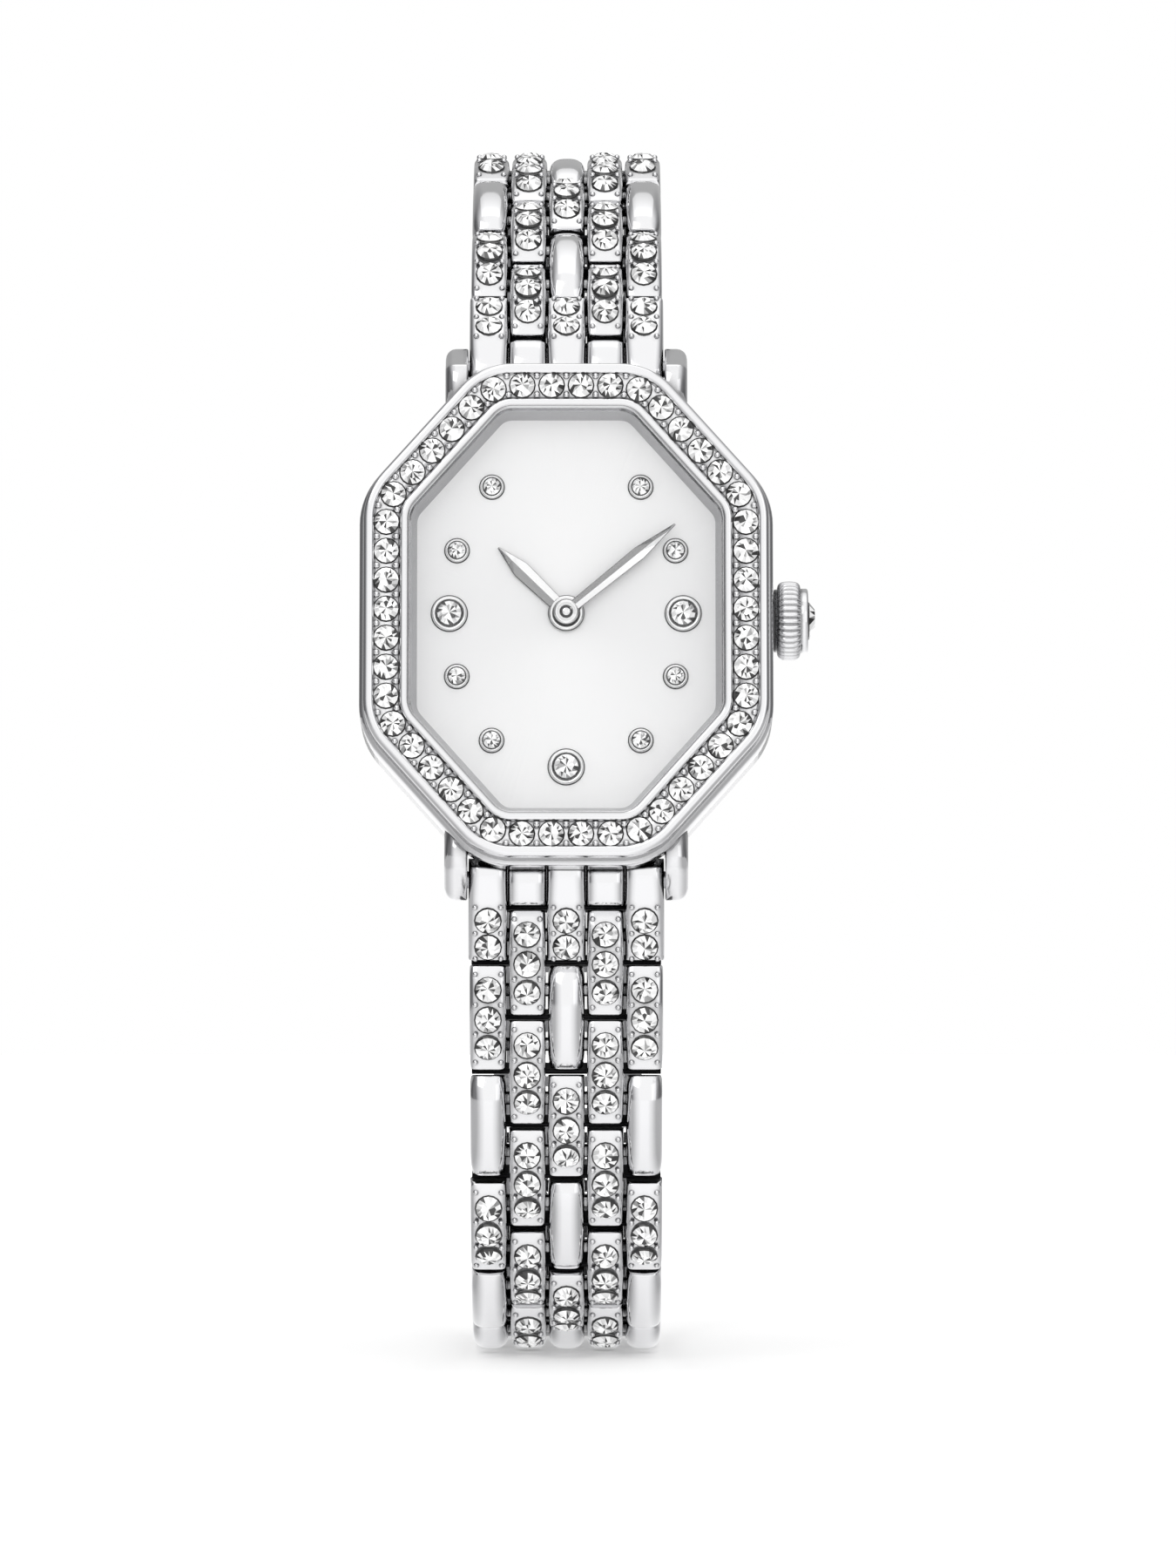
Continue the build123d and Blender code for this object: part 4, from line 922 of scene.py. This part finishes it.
# ranges are written as from, to and what they give at either end; behind gives a share at its far end
studio = {
    "distance": 530.0, "frameHeight": 90.54, "cameraDrop": 10.16, "cameraRight": 1.26,
    "faceHeight": 1.85, "ambient": 0.85, "reflected": 1.15, "cardShift": 0.06,
    "cards": [(0.24, (1, 1, 1, 1)), (0.6, (0.64, 0.64, 0.65, 1)), (0.9, (0.18, 0.18, 0.185, 1))],
    "behind": (-0.2, 0.5, 0.42),
}
# pool and mirrored give the floor a painted light and a greyer colour that only reflections see
floor = {
    "radius": 0.6, "drop": 0.00002, "sides": 96, "roughness": 0.9, "fade": (0.04, 0.16, 0.3, 1.0),
    "pool": (0.12, 0.8, 0.64, 0.0), "direct": (0.85, 0.85, 0.85, 1), "mirrored": (0.54, 0.54, 0.545, 1),
}
white = (1, 1, 1, 1)
world = bpy.data.worlds.new("studioWorld")
bpy.context.scene.world = world
world.use_nodes = True
sky = world.node_tree
sky.nodes.clear()
parts = addNode(sky, "SeparateXYZ", {"Vector": addNode(sky, "TexCoord", {})["Generated"]})
sideways = mathNode(sky, "ABSOLUTE", mathNode(sky, "SUBTRACT", parts["X"], studio["cardShift"]))
cards = sky.nodes.new("ShaderNodeValToRGB")  # white in front and behind, grey cards at the sides
steps = cards.color_ramp.elements
steps.new(0.6)
for step, (position, colour) in zip(steps, studio["cards"]):
    step.position, step.color = position, colour
feed(sky, cards, {"Fac": sideways})
# glossy and transmission rays see the cards, with less light from behind the object, the camera
# sees white and all other rays an even light
low, high, share = studio["behind"]
level = rangeNode(sky, parts["Y"], low, high, studio["reflected"], studio["reflected"] * share)
shown = addNode(sky, "Background", {"Color": cards.outputs["Color"], "Strength": level})["Background"]
plain = addNode(sky, "Background", {"Color": white, "Strength": studio["ambient"]})["Background"]
backdrop = addNode(sky, "Background", {"Color": white})["Background"]
rays = addNode(sky, "LightPath", {})
mirrored = mathNode(sky, "MAXIMUM", rays["Is Glossy Ray"], rays["Is Transmission Ray"])
unseen = addNode(sky, "MixShader", {0: mirrored, 1: plain, 2: shown})["Shader"]
whole = addNode(sky, "MixShader", {0: rays["Is Camera Ray"], 1: unseen, 2: backdrop})["Shader"]
addNode(sky, "OutputWorld", {"Surface": whole})


def floorMaterial():
    # matte, and to the camera it also gives off white that fades towards the middle, so that only the
    # contact shadow shows; in reflections it is greyer, a painted reflection, and gives off a painted pool of light
    # that falls with the ray's sideways part
    material, tree, shader = newMaterial("paleFloor", {"Roughness": floor["roughness"], "Emission Color": white})
    distance = vectorNode(tree, "LENGTH", addNode(tree, "TexCoord", {})["Object"])["Value"]
    fade = rangeNode(tree, distance, *floor["fade"])
    arriving = addNode(tree, "SeparateXYZ", {"Vector": addNode(tree, "NewGeometry", {})["Incoming"]})
    pool = rangeNode(tree, mathNode(tree, "ABSOLUTE", arriving["X"]), *floor["pool"])
    rays = addNode(tree, "LightPath", {})
    # greyer in reflections: a painted reflection
    tint = mixNode(tree, rays["Is Glossy Ray"], floor["direct"], floor["mirrored"])
    direct = mathNode(tree, "MULTIPLY", fade, rays["Is Camera Ray"])
    # a painted pool of light, seen only by reflections, strongest where the ray runs straight on
    seen = mathNode(tree, "MULTIPLY_ADD", pool, rays["Is Glossy Ray"], direct)
    feed(tree, shader, {"Base Color": tint, "Emission Strength": seen})
    return material


disc = turnedGrid([(floor["radius"], -floor["drop"])], floor["sides"])[0]
floorMesh = bpy.data.meshes.new("studioFloor")
floorMesh.from_pydata(disc.tolist(), [], [list(range(floor["sides"]))])
studioFloor = bpy.data.objects.new("studioFloor", floorMesh)
bpy.context.scene.collection.objects.link(studioFloor)
floorMesh.materials.append(floorMaterial())

faceCentre = dialCentre + mm * studio["faceHeight"] * headOut


def softLamp(name, place, size, power):
    # a rectangular lamp turned to the watch's face
    lamp = bpy.data.lights.new(name, "AREA")
    lamp.shape = "RECTANGLE"
    lamp.size, lamp.size_y = size
    lamp.energy = power
    holder = bpy.data.objects.new(name, lamp)
    holder.location = place
    holder.rotation_euler = (Vector(faceCentre) - Vector(place)).to_track_quat("-Z", "Y").to_euler()
    bpy.context.scene.collection.objects.link(holder)


softLamp("keyLamp", (-0.22, -0.42, 0.42), (0.3, 0.3), 0.3)
softLamp("fillLamp", (0.32, -0.45, 0.16), (0.3, 0.4), 0.12)
softLamp("topLamp", (0.0, 0.05, 0.5), (0.4, 0.4), 0.2)

camera = bpy.data.cameras.new("photoCamera")
camera.sensor_fit = "VERTICAL"
camera.sensor_height = 36.0
camera.lens = camera.sensor_height * studio["distance"] / studio["frameHeight"]
camera.clip_start = 0.01
cameraHolder = bpy.data.objects.new("photoCamera", camera)
cameraHolder.location = (faceCentre[0] + mm * studio["cameraRight"], faceCentre[1] - mm * studio["distance"],
                         faceCentre[2] - mm * studio["cameraDrop"])
cameraHolder.rotation_euler = (np.pi / 2, 0, 0)
bpy.context.scene.collection.objects.link(cameraHolder)
bpy.context.scene.camera = cameraHolder
bpy.context.scene.view_settings.view_transform = "Standard"
print("studio set")
